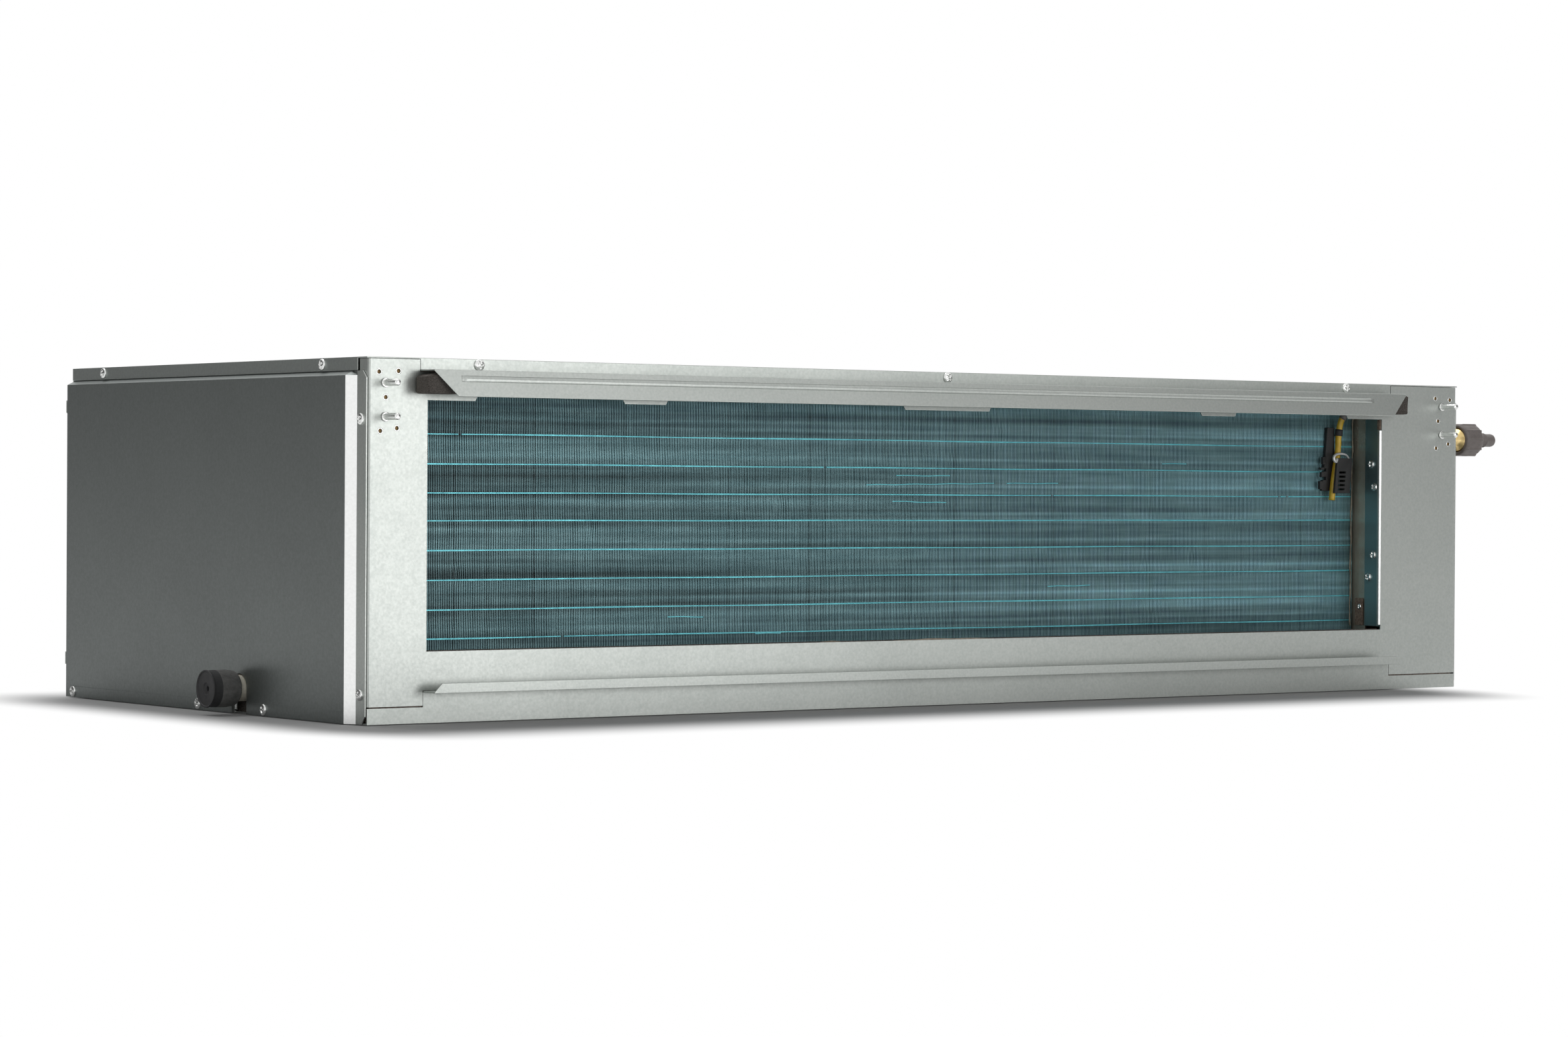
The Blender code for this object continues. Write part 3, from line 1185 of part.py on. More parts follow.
def make_pipes():
    """Gas header and pipe, expansion valve, distributor with its capillaries, and the liquid pipe."""
    header_x, header_y = BULKHEAD_X + HEADER_OUT, FRONT + COIL_FACE + ROW_PITCH / 2
    last = TUBES_PER_ROW - 1
    _, low = tube_place(0, 0)
    _, high = tube_place(0, last)
    overrun = 0.006
    header = cylinder("gas_header", (header_x, header_y, low - overrun), (header_x, header_y, high + overrun),
                      HEADER_RADIUS, "copper", sides=18)
    plate_x = BULKHEAD_X + END_PLATE + SEAT
    for number in (0, last):
        y, z = tube_place(0, number)
        join(header, cylinder(f"gas_branch_{number}", (plate_x, y, z), (header_x, header_y, z), TUBE_RADIUS,
                              sides=10))
    gas_y = FRONT + GAS_DEPTH
    pipe_end = RIGHT + PIPE_REACH + UNION_SOCKET - SEAT
    route = [
        (header_x + HEADER_RADIUS + SEAT, header_y, GAS_HEIGHT),
        (header_x + HEADER_RADIUS + 0.004, header_y, GAS_HEIGHT),
        (header_x + HEADER_RADIUS + 0.022, header_y + 0.018, GAS_HEIGHT),
        (header_x + HEADER_RADIUS + 0.025, gas_y - 0.030, GAS_HEIGHT),
        (RIGHT - 0.004, gas_y, GAS_HEIGHT),
        (RIGHT + PIPE_REACH / 2, gas_y, GAS_HEIGHT),
        (pipe_end, gas_y, GAS_HEIGHT),
    ]
    tube("gas_pipe", smooth_route(route, 0.012), GAS_PIPE, "copper", sides=10)

    valve = (BULKHEAD_X + VALVE_OUT, FRONT + VALVE_DEPTH)
    can = VALVE_BODY * 1.05
    turned("expansion_valve", [
        (0.0, 0.0), (0.0, VALVE_BODY * 0.55), (VALVE_STEM, VALVE_BODY * 0.55), (VALVE_STEM, VALVE_BODY),
        (VALVE_STEM + 0.024, VALVE_BODY), (VALVE_STEM + 0.024, can), (VALVE_TALL - 0.004, can),
        (VALVE_TALL, can * 0.6), (VALVE_TALL, 0.0),
    ], "brass", origin=(*valve, VALVE_BASE), axis="Z", steps=20)
    turned("valve_coil", [
        (0.0, can + SEAT), (VALVE_COIL_TALL, can + SEAT), (VALVE_COIL_TALL, VALVE_COIL - 0.002),
        (VALVE_COIL_TALL - 0.002, VALVE_COIL), (0.002, VALVE_COIL), (0.0, VALVE_COIL - 0.002),
    ], "black_plastic", origin=(*valve, VALVE_BASE + VALVE_STEM + 0.026), axis="Z", steps=20)

    cone = VALVE_BASE - SEAT
    distributor = turned("distributor", [
        (-0.020, 0.0), (-0.020, 0.011), (-0.012, 0.011), (0.0, VALVE_BODY * 0.5), (0.0, 0.0),
    ], "brass", origin=(*valve, cone), axis="Z", steps=16)
    routes = []
    row = COIL_ROWS - 1
    for number, sign in ((0, 1), (last, -1)):
        y, z = tube_place(row, number)
        start = valve[1] - 0.002 - 0.003 * sign
        loop_x = BULKHEAD_X + CAPILLARY_OUT
        drop = cone - 0.018
        routes.append(smooth_route([
            (plate_x, y, z),
            (loop_x - 0.006, y, z),
            (loop_x, y + 0.012, z),
            (loop_x, (y + start) / 2, z * 0.3 + drop * 0.7),
            (loop_x + 0.006, start - 0.004, drop - 0.026),
            (valve[0], start, drop - 0.020),
            (valve[0], start, drop),
        ], 0.016))
    join(distributor, many_tubes("capillaries", routes, CAPILLARY))

    liquid_y = FRONT + LIQUID_DEPTH
    side_z = VALVE_BASE + VALVE_STEM + 0.012
    route = [
        (valve[0], valve[1] - VALVE_BODY - SEAT, side_z),
        (valve[0], valve[1] - VALVE_BODY - 0.010, side_z),
        (valve[0], (valve[1] + liquid_y) / 2, (side_z + LIQUID_HEIGHT) / 2 + 0.006),
        (valve[0] + 0.002, liquid_y + 0.014, LIQUID_HEIGHT),
        (RIGHT - 0.012, liquid_y, LIQUID_HEIGHT),
        (RIGHT + PIPE_REACH / 2, liquid_y, LIQUID_HEIGHT),
        (pipe_end, liquid_y, LIQUID_HEIGHT),
    ]
    tube("liquid_pipe", smooth_route(route, 0.012), LIQUID_PIPE, "copper", sides=8)


def make_pump():
    """Drain pump hung from the bulkhead over the pan, and the float that starts it."""
    x, y = BULKHEAD_X + PUMP_OUT, FRONT + PUMP_DEPTH
    base = PAN_FLOOR + 0.004
    pump = turned("drain_pump", [
        (0.0, 0.0), (0.0, PUMP_INTAKE * 0.8), (0.022, PUMP_INTAKE), (0.026, PUMP_RADIUS),
        (0.056, PUMP_RADIUS), (0.058, PUMP_RADIUS * 0.8), (PUMP_TALL - 0.002, PUMP_RADIUS * 0.8),
        (PUMP_TALL, PUMP_RADIUS * 0.7), (PUMP_TALL, 0.0),
    ], "white_plastic", origin=(x, y, base), axis="Z", steps=24)
    ear = block("pump_ear", (BULKHEAD_X + SHEET + SEAT, y - 0.010, base + 0.040), (x, y + 0.010, base + 0.052))
    spout = cylinder("pump_spout", (x, y, PUMP_OUTLET_HEIGHT), (RIGHT + TRAY_RAISE + 0.022, y, PUMP_OUTLET_HEIGHT),
                     PUMP_SPOUT, sides=20)
    join(pump, ear, spout)
    bore = cylinder("pump_bore", (x + PUMP_RADIUS, y, PUMP_OUTLET_HEIGHT),
                    (RIGHT + TRAY_RAISE + 0.030, y, PUMP_OUTLET_HEIGHT), PUMP_SPOUT - 0.0018, sides=20)
    cut(pump, bore)

    float_x, float_y = BULKHEAD_X + FLOAT_OUT, FRONT + FLOAT_DEPTH
    top = PAN_REAR_LIP + 0.020
    stem = cylinder("float_switch", (float_x, float_y, PAN_FLOOR + 0.003), (float_x, float_y, top),
                    FLOAT_STEM, "white_plastic", sides=14)
    join(stem, block("float_arm", (BULKHEAD_X + SHEET + SEAT, float_y - 0.007, top - 0.004),
                     (float_x + 0.007, float_y + 0.007, top + 0.001)))
    join(stem, cylinder("float_stop", (float_x, float_y, PAN_FLOOR + 0.002),
                        (float_x, float_y, PAN_FLOOR + 0.004), FLOAT_STEM + 0.002, sides=14))
    turned("float_ring", [
        (0.0, FLOAT_STEM + SEAT), (FLOAT_TALL, FLOAT_STEM + SEAT), (FLOAT_TALL, FLOAT_RADIUS - 0.001),
        (FLOAT_TALL - 0.001, FLOAT_RADIUS), (0.001, FLOAT_RADIUS), (0.0, FLOAT_RADIUS - 0.001),
    ], "black_plastic", origin=(float_x, float_y, PAN_FLOOR + 0.004 + SEAT), axis="Z", steps=20)


def make_control_box():
    """Control box on the pipe-end side: a tray, its lid, a circuit board on posts and a terminal block."""
    x0 = RIGHT + TRAY_RAISE + SEAT
    x1 = x0 + BOX_OUT
    y0, y1 = FRONT + BOX_START, FRONT + BOX_START + BOX_LENGTH
    z0, z1 = BOX_BASE, BOX_BASE + BOX_HEIGHT
    tray = block("control_box", (x0, y0, z0), (x1, y1, z1), "galvanised")
    cut(tray, block("box_hollow", (x0 + SHEET, y0 + SHEET, z0 + SHEET), (x1 + SHEET, y1 - SHEET, z1 - SHEET)))
    cut(tray, cylinder("box_cable_hole", (x0 - SHEET, FRONT + CABLE_HOLE_DEPTH, CABLE_HOLE_HEIGHT),
                       (x0 + 2 * SHEET, FRONT + CABLE_HOLE_DEPTH, CABLE_HOLE_HEIGHT), CABLE_HOLE, sides=16))
    gland_x, gland_y = x0 + BOX_OUT / 2, y0 + BOX_LENGTH / 5
    cut(tray, cylinder("gland_hole", (gland_x, gland_y, z0 - SHEET), (gland_x, gland_y, z0 + 2 * SHEET),
                       GLAND_RADIUS, sides=16))
    turned("cable_gland", [
        (-0.012, GLAND_RADIUS * 0.6), (0.006, GLAND_RADIUS * 0.6), (0.006, GLAND_RADIUS - SEAT),
        (-SEAT, GLAND_RADIUS - SEAT), (-SEAT, GLAND_RADIUS * 1.3), (-0.006, GLAND_RADIUS * 1.3),
        (-0.012, GLAND_RADIUS),
    ], "black_plastic", origin=(gland_x, gland_y, z0), axis="Z", steps=16)
    board_y0, board_y1 = y0 + BOARD_EDGE, y1 - BOARD_EDGE
    board_z0, board_z1 = z0 + BOARD_FOOT, z1 - BOARD_EDGE
    inset = 0.007
    for row, z in enumerate((board_z0 + inset, board_z1 - inset)):
        for column, y in enumerate((board_y0 + inset, board_y1 - inset)):
            join(tray, cylinder(f"board_post_{row}{column}", (x0 + SHEET / 2, y, z),
                                (x0 + SHEET + STANDOFF, y, z), 0.003, sides=10))
    board_x = x0 + SHEET + STANDOFF + SEAT
    face = board_x + BOARD_THICKNESS / 2
    board = block("control_board", (board_x, board_y0, board_z0),
                  (board_x + BOARD_THICKNESS, board_y1, board_z1), "board_green")
    wide, tall = board_y1 - board_y0, board_z1 - board_z0
    for number, (across, up, size_y, size_z, out) in enumerate((
        (0.06, 0.55, 0.20, 0.30, 0.024), (0.34, 0.62, 0.14, 0.26, 0.018), (0.56, 0.60, 0.10, 0.16, 0.014),
        (0.74, 0.58, 0.16, 0.30, 0.020), (0.10, 0.12, 0.26, 0.16, 0.012), (0.48, 0.14, 0.34, 0.14, 0.010),
    )):
        start = (face, board_y0 + across * wide, board_z0 + up * tall)
        join(board, block(f"board_part_{number}", start,
                          (face + out, start[1] + size_y * wide, start[2] + size_z * tall)))
    for number in range(3):
        y = board_y0 + wide * (0.42 + 0.14 * number)
        z = board_z0 + tall * 0.44
        join(board, cylinder(f"board_capacitor_{number}", (face, y, z), (face + 0.026, y, z), 0.008, sides=14))
    block_y0 = y0 + BOX_LENGTH * 0.42
    terminals = block("terminal_block", (x0 + SHEET + SEAT, block_y0, z0 + SHEET + SEAT),
                      (x0 + SHEET + 0.022, block_y0 + TERMINALS * TERMINAL_PITCH + 0.002, board_z0 - 0.004),
                      "black_plastic")
    for number in range(TERMINALS):
        start = block_y0 + 0.002 + number * TERMINAL_PITCH
        cut(terminals, block(f"terminal_{number}", (x0 + SHEET + 0.014, start, z0),
                             (x0 + SHEET + 0.030, start + TERMINAL_PITCH - 0.002, board_z0 - 0.010)))
    play = SEAT
    lid = block("control_box_lid", (x1 + SEAT - LID_RIM, y0 - play - SHEET, z0 - play - SHEET),
                (x1 + SEAT + SHEET, y1 + play + SHEET, z1 + play + SHEET), "galvanised")
    cut(lid, block("lid_hollow", (x1 - 2 * LID_RIM, y0 - play, z0 - play), (x1 + SEAT, y1 + play, z1 + play)))


def make_sensor():
    """Air sensor: a two-part clip on the coil's face and the lead that it holds."""
    face = FRONT + COIL_FACE - SEAT
    x0 = LEFT + CLIP_LEFT
    z0 = CLIP_BASE_HEIGHT
    base_y = face - CLIP_THICKNESS
    base = prism("sensor_clip_base", "Y", [
        (x0, z0 + 0.002), (x0 + CLIP_WIDTH, z0 + 0.002), (x0 + CLIP_WIDTH, z0 + CLIP_TALL),
        (x0 + 0.006, z0 + CLIP_TALL), (x0 + 0.0035, z0 + CLIP_TALL * 0.5), (x0 + 0.002, z0 + CLIP_TALL * 0.3),
    ], base_y, face, "black_plastic")
    for number, low in enumerate((0.20, 0.33)):
        cut(base, block(f"clip_gap_{number}", (x0 - SHEET, base_y - SHEET, z0 + CLIP_TALL * low),
                        (x0 + CLIP_WIDTH * 0.35, face + SHEET, z0 + CLIP_TALL * (low + 0.045))))
    plate_x = x0 + CLIP_COVER_SHIFT
    plate_y = base_y - 2 * CABLE_RADIUS - 4 * SEAT
    plate = block("sensor_clip_cover", (plate_x, plate_y - CLIP_COVER, z0),
                  (plate_x + CLIP_COVER_WIDTH, plate_y, z0 + CLIP_COVER_TALL), "black_plastic")
    join(plate, block("clip_wall", (plate_x + CLIP_COVER_WIDTH - 0.0018, plate_y - CLIP_COVER / 2, z0 + 0.001),
                      (plate_x + CLIP_COVER_WIDTH, face, z0 + CLIP_COVER_TALL - 0.001)))
    for number in range(5):
        low = z0 + 0.0025 + number * 0.0036
        cut(plate, block(f"clip_slot_{number}", (plate_x + 0.004, plate_y - 2 * CLIP_COVER, low),
                         (plate_x + 0.013, plate_y + SHEET, low + 0.0016)))
    lead_y = base_y - CABLE_RADIUS - 2 * SEAT
    hole_y = FRONT + CABLE_HOLE_DEPTH
    route = [
        (x0 + 0.0115, lead_y, z0 - 0.006),
        (x0 + 0.0130, lead_y, z0 + 0.012),
        (x0 + 0.0175, lead_y, z0 + 0.034),
        (x0 + 0.0195, lead_y, z0 + 0.056),
        (x0 + 0.0215, lead_y - 0.004, TOP - 0.026),
        (WINDOW_X1 - 0.006, FRONT + 0.0172, TOP - 0.0125),
        (WINDOW_X1 + 0.014, FRONT + 0.0172, TOP - 0.0120),
        (BULKHEAD_X + LEAD_OUT, FRONT + 0.050, TOP - 0.0100),
        (BULKHEAD_X + LEAD_OUT, FRONT + 0.120, TOP - 0.0100),
        (BULKHEAD_X + LEAD_OUT, hole_y - 0.040, TOP - 0.014),
        (BULKHEAD_X + LEAD_OUT + 0.004, hole_y - 0.008, CABLE_HOLE_HEIGHT),
        (RIGHT - 0.010, hole_y, CABLE_HOLE_HEIGHT),
        (RIGHT + TRAY_RAISE + 0.008, hole_y, CABLE_HOLE_HEIGHT),
    ]
    tube("sensor_lead", smooth_route(route, 0.018), CABLE_RADIUS, "sensor_yellow", sides=8)


def main():
    """Build every piece, then leave the cutters hidden."""
    clear_scene()
    make_bottom_plate()
    make_top_cover()
    make_front_panel()
    make_studs()
    make_side_panels()
    make_rear_panel()
    make_filter_rails()
    make_filters()
    make_seals()
    make_coil()
    make_end_plates()
    make_baffle()
    make_insulation()
    make_drain_pan()
    make_drain()
    make_fan_deck()
    make_fans()
    make_motor()
    make_bulkhead()
    make_connections()
    make_pipes()
    make_pump()
    make_control_box()
    make_sensor()
    for layer in bpy.context.view_layer.layer_collection.children:
        if layer.name == CUTTERS:
            layer.collection.hide_render = True


main()
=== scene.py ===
"""Dresses the ducted indoor unit: its sheet metal, coil, blowers, drain, pipes and controls, and lights it.

Every length is in metres, in the part's own frame: the origin is the centre of the casing's underside, X runs
from the drain end to the pipe end, Y from the supply outlet to the return inlet, and Z is up.
"""

import logging
import math
from dataclasses import dataclass
from enum import Enum
from typing import Mapping, Optional, Sequence

import bmesh
import bpy
import numpy as np
from mathutils import Matrix, Vector


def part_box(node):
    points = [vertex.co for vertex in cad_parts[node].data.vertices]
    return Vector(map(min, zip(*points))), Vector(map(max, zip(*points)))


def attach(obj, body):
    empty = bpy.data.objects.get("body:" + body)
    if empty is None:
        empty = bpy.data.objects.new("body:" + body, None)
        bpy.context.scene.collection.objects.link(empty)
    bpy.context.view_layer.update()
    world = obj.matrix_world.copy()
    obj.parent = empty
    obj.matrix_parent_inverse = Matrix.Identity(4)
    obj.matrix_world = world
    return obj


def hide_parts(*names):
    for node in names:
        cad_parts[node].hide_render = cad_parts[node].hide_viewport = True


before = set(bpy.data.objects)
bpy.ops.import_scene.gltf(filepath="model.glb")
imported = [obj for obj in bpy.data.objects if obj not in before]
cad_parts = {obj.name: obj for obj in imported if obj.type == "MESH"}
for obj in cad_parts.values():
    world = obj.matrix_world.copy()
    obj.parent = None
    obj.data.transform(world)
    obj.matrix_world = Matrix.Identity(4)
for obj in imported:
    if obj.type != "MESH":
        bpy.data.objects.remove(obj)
LOG = logging.getLogger("ducted_unit")
WELD = 0.00001
PAN_SCREW_RADIUS = 0.0041
BROAD_SCALE = 9.0
BROAD_SHARE = 0.35


class Axis(Enum):
    """A direction of the frame that a turned piece or a screw points along."""

    LEFT = (-1.0, 0.0, 0.0)
    RIGHT = (1.0, 0.0, 0.0)
    FRONT = (0.0, -1.0, 0.0)
    REAR = (0.0, 1.0, 0.0)

    def frame(self) -> np.ndarray:
        """Return three rows: two directions across the axis, then the axis itself."""
        along = np.array(self.value)
        guide = np.array((0.0, 0.0, 1.0)) if abs(along[2]) < 0.5 else np.array((0.0, 1.0, 0.0))
        first = np.cross(guide, along)
        return np.stack((first, np.cross(along, first), along))


class Grain(Enum):
    """How a finish varies over its surface."""

    SPECKLE = "speckle"
    CELLS = "cells"
    SCUFFED = "scuffed"


class Wiring:
    """The nodes of a material or of the world, each added with its settings and inputs in one call."""

    def __init__(self, owner: bpy.types.Material | bpy.types.World) -> None:
        """Turn the owner's nodes on and keep hold of them."""
        owner.use_nodes = True
        self.nodes, self.links = owner.node_tree.nodes, owner.node_tree.links

    def feed(self, node: bpy.types.Node, inputs: Mapping[str | int, object]) -> bpy.types.Node:
        """Set inputs of a node.

        Args:
            node: the node.
            inputs: for each input's name or number a plain value, or another node's socket to link it to.

        Returns:
            The node.
        """
        for key, value in inputs.items():
            if isinstance(value, bpy.types.NodeSocket):
                self.links.new(value, node.inputs[key])
            else:
                node.inputs[key].default_value = value
        return node

    def new(self, kind: str, inputs: Optional[Mapping[str | int, object]] = None,
            **settings: object) -> bpy.types.Node:
        """Add a node.

        Args:
            kind: its type, without the word ShaderNode in front.
            inputs: its inputs, as feed takes them.
            settings: its own properties.

        Returns:
            The node.
        """
        node = self.nodes.new("ShaderNode" + kind)
        for key, value in settings.items():
            setattr(node, key, value)
        return self.feed(node, inputs or {})

    def math(self, operation: str, *values: object, clamp: bool = False) -> bpy.types.NodeSocket:
        """Return the result of one step of arithmetic on up to three values or sockets."""
        node = self.new("Math", dict(enumerate(values)), operation=operation, use_clamp=clamp)
        return node.outputs["Value"]

    def seen(self) -> bpy.types.NodeSocket:
        """Return a socket that is 1 for camera, glossy and transmission rays and 0 for others."""
        path = self.new("LightPath").outputs
        lens = self.math("ADD", path["Is Camera Ray"], path["Is Glossy Ray"], clamp=True)
        return self.math("ADD", lens, path["Is Transmission Ray"], clamp=True)


@dataclass(frozen=True)
class Finish:
    """A surface finish: two colours that the grain mixes, gloss, and the relief of the grain."""

    name: str
    light: tuple[float, float, float]
    dark: tuple[float, float, float]
    metallic: float = 0.0
    roughness: float = 0.5
    spread: float = 0.08
    scale: float = 300.0
    stretch: tuple[float, float, float] = (1.0, 1.0, 1.0)
    relief: float = 0.0
    relief_scale: float = 300.0
    grain: Grain = Grain.SPECKLE
    coat: float = 0.0
    slot: str = "galvanised"

    def material(self) -> bpy.types.Material:
        """Return the Blender material of this finish, made the first time it is asked for.

        Returns:
            A Principled material whose colour, roughness and bump come from noise on Object coordinates.
        """
        found = bpy.data.materials.get(self.name)
        if found is not None:
            return found
        found = bpy.data.materials.new(self.name)
        wiring = Wiring(found)
        place = wiring.new("TexCoord").outputs["Object"]
        place = wiring.new("Mapping", {"Vector": place, "Scale": self.stretch}).outputs["Vector"]
        broad = wiring.new("TexNoise", {"Vector": place, "Scale": BROAD_SCALE, "Detail": 4.0}).outputs["Fac"]
        fine = self._pattern(wiring, place, self.scale)
        blend = wiring.new("Mix", {"Factor": BROAD_SHARE, "A": fine, "B": broad}, data_type="FLOAT")
        blend = blend.outputs["Result"]
        ramp = wiring.new("ValToRGB", {"Fac": blend})
        stops = ramp.color_ramp.elements
        for stop, position, colour in zip(stops, (0.30, 0.70), (self.dark, self.light)):
            stop.position, stop.color = position, (*colour, 1.0)
        gloss = wiring.new("MapRange", {"Value": blend, "To Min": self.roughness + self.spread,
                                        "To Max": self.roughness - self.spread})
        shader = wiring.feed(wiring.nodes["Principled BSDF"], {
            "Metallic": self.metallic, "Coat Weight": self.coat, "Base Color": ramp.outputs["Color"],
            "Roughness": gloss.outputs["Result"]})
        if self.relief > 0.0:
            bump = wiring.new("Bump", {"Strength": 0.6, "Distance": self.relief,
                                       "Height": self._pattern(wiring, place, self.relief_scale)})
            wiring.feed(shader, {"Normal": bump.outputs["Normal"]})
        return found

    def _pattern(self, wiring: Wiring, place: bpy.types.NodeSocket, scale: float) -> bpy.types.NodeSocket:
        """Return the grain's value socket.

        Args:
            wiring: the material's nodes.
            place: the place on the piece, stretched.
            scale: how many grains fit in a metre.
        """
        if self.grain is Grain.CELLS:
            return wiring.new("TexVoronoi", {"Vector": place, "Scale": scale}).outputs["Distance"]
        detail, roughness = (8.0, 0.75) if self.grain is Grain.SCUFFED else (3.0, 0.55)
        return wiring.new("TexNoise", {"Vector": place, "Scale": scale, "Detail": detail,
                                       "Roughness": roughness}).outputs["Fac"]


GALVANISED = Finish("galvanised_sheet", (0.50, 0.525, 0.50), (0.40, 0.425, 0.405), metallic=0.85,
                    roughness=0.42, spread=0.06, scale=520.0, relief=0.00003, relief_scale=900.0)
# painted shade: a darker copy of the galvanised sheet for the side panels, which face away from the light
GALVANISED_PAINTED_SHADE = Finish("galvanised_painted_shade", (0.225, 0.245, 0.238), (0.18, 0.195, 0.19), metallic=0.85,
                         roughness=0.45, spread=0.06, scale=460.0, relief=0.00003, relief_scale=800.0)
# painted shade: a darker copy of the galvanised sheet for the top cover's faces that face sideways
SKIRT_PAINTED_SHADE = Finish("galvanised_skirt_painted_shade", (0.35, 0.375, 0.36), (0.28, 0.30, 0.29), metallic=0.85,
                    roughness=0.45, spread=0.06, scale=460.0, relief=0.00003, relief_scale=800.0)
HEM_ZINC = Finish("hem_zinc", (0.46, 0.465, 0.46), (0.40, 0.405, 0.40), metallic=1.0, roughness=0.30,
                  spread=0.05, scale=520.0, slot="zinc_bright")
# painted highlight: a near-white copy of the zinc for the side panels' faces that lean towards the front
FOLD_PAINTED_HIGHLIGHT = Finish("folded_zinc_painted_highlight", (0.90, 0.91, 0.90), (0.80, 0.81, 0.80), metallic=1.0, roughness=0.30,
                   spread=0.05, scale=520.0, slot="zinc_bright")
ZINC_BRIGHT = Finish("zinc_plate", (0.83, 0.84, 0.82), (0.66, 0.67, 0.66), metallic=1.0, roughness=0.24,
                     spread=0.08, scale=420.0, slot="zinc_bright")
BAFFLE_ZINC = Finish("baffle_zinc", (0.62, 0.74, 0.74), (0.46, 0.56, 0.57), metallic=0.2, roughness=0.34,
                     spread=0.12, scale=70.0, stretch=(1.0, 1.0, 0.35), grain=Grain.SCUFFED,
                     slot="baffle_zinc")
FIN_METAL = Finish("fin_metal", (0.28, 0.47, 0.50), (0.17, 0.31, 0.34), metallic=0.45, roughness=0.44,
                   spread=0.10, scale=90.0, stretch=(0.25, 1.0, 2.2), slot="fin_aluminium")
# painted shade: the dark seen deep between the fins
CORE_PAINTED_SHADE = Finish("tube_bank_painted_shade", (0.035, 0.085, 0.095), (0.012, 0.032, 0.037), metallic=0.3, roughness=0.55,
                   scale=90.0, slot="fin_aluminium")
WALL_ZINC = Finish("wall_zinc", (0.80, 0.73, 0.61), (0.34, 0.31, 0.26), metallic=0.45, roughness=0.26,
                   spread=0.08, scale=26.0, stretch=(1.0, 1.0, 0.5), grain=Grain.SCUFFED, slot="baffle_zinc")
FIN_COLLAR = Finish("fin_collar", (0.20, 0.80, 0.88), (0.08, 0.44, 0.52), metallic=0.3, roughness=0.35,
                    spread=0.10, scale=190.0, slot="fin_aluminium")
COPPER = Finish("copper_tube", (0.80, 0.45, 0.28), (0.52, 0.26, 0.15), metallic=1.0, roughness=0.30,
                spread=0.10, scale=120.0, grain=Grain.SCUFFED, slot="copper")
BRASS = Finish("machined_brass", (0.84, 0.66, 0.32), (0.62, 0.45, 0.20), metallic=1.0, roughness=0.27,
               spread=0.08, scale=260.0, slot="brass")
PAN_FOAM = Finish("moulded_foam", (0.30, 0.24, 0.20), (0.17, 0.13, 0.11), roughness=0.90, scale=420.0,
                  relief=0.0002, relief_scale=340.0, grain=Grain.CELLS, slot="pan_foam")
BROWN_FOAM = Finish("brown_foam", (0.34, 0.25, 0.19), (0.20, 0.14, 0.11), roughness=0.88, scale=500.0,
                    relief=0.00015, relief_scale=420.0, grain=Grain.CELLS, slot="pan_foam")
SEAL_FOAM = Finish("sealing_foam", (0.125, 0.11, 0.097), (0.06, 0.052, 0.046), roughness=0.95, scale=1150.0,
                   relief=0.0004, relief_scale=900.0, grain=Grain.CELLS, slot="seal_foam")
CREAM_PLASTIC = Finish("cream_plastic", (0.82, 0.78, 0.66), (0.70, 0.66, 0.54), roughness=0.42, scale=90.0,
                       relief=0.00002, slot="spout_plastic")
RUBBER_DARK = Finish("plain_rubber", (0.05, 0.05, 0.052), (0.022, 0.022, 0.023), roughness=0.62, scale=150.0,
                     relief=0.00003, relief_scale=500.0, grain=Grain.SCUFFED, slot="rubber")
RUBBER = Finish("scuffed_rubber", (0.27, 0.265, 0.255), (0.035, 0.036, 0.036), roughness=0.68, spread=0.14,
                scale=130.0, stretch=(0.6, 1.0, 1.0), relief=0.00006, relief_scale=420.0,
                grain=Grain.SCUFFED, slot="rubber")
GREY_PLASTIC = Finish("taupe_plastic", (0.30, 0.265, 0.25), (0.21, 0.185, 0.175), roughness=0.50, scale=240.0,
                      relief=0.00003, relief_scale=700.0, slot="grey_plastic")
BLACK_PLASTIC = Finish("black_plastic", (0.045, 0.045, 0.046), (0.012, 0.012, 0.013), roughness=0.45,
                       scale=300.0, relief=0.00002, relief_scale=900.0, slot="black_plastic")
WHEEL_PLASTIC = Finish("wheel_plastic", (0.085, 0.088, 0.092), (0.04, 0.042, 0.045), roughness=0.40,
                       scale=200.0, relief=0.00002, relief_scale=700.0, slot="wheel_plastic")
WHITE_PLASTIC = Finish("white_plastic", (0.76, 0.76, 0.73), (0.64, 0.64, 0.61), roughness=0.45, scale=120.0,
                       relief=0.00002, relief_scale=700.0, slot="white_plastic")
YELLOW_SHEATH = Finish("yellow_sheath", (0.92, 0.62, 0.04), (0.70, 0.42, 0.02), roughness=0.38, scale=220.0,
                       relief=0.00003, relief_scale=600.0, slot="sensor_yellow")
BOARD_GREEN = Finish("circuit_board", (0.045, 0.23, 0.11), (0.02, 0.10, 0.05), roughness=0.38, scale=420.0,
                     coat=0.3, grain=Grain.CELLS, slot="board_green")
MOTOR_PAINT = Finish("motor_paint", (0.36, 0.38, 0.39), (0.25, 0.27, 0.28), metallic=0.2, roughness=0.42,
                     scale=300.0, relief=0.00003, relief_scale=800.0, slot="motor_paint")
TIE_GREY = Finish("cable_tie", (0.80, 0.80, 0.78), (0.60, 0.60, 0.59), metallic=0.3, roughness=0.35,
                  scale=300.0, slot="white_plastic")
EDGE_SEALANT = Finish("edge_sealant", (0.62, 0.56, 0.45), (0.27, 0.21, 0.15), roughness=0.65, scale=240.0,
                      relief=0.0001, relief_scale=300.0, slot="pan_foam")
PILOT_DARK = Finish("pilot_hole", (0.60, 0.37, 0.14), (0.24, 0.13, 0.05), roughness=0.75, scale=500.0,
                    slot="pan_foam")


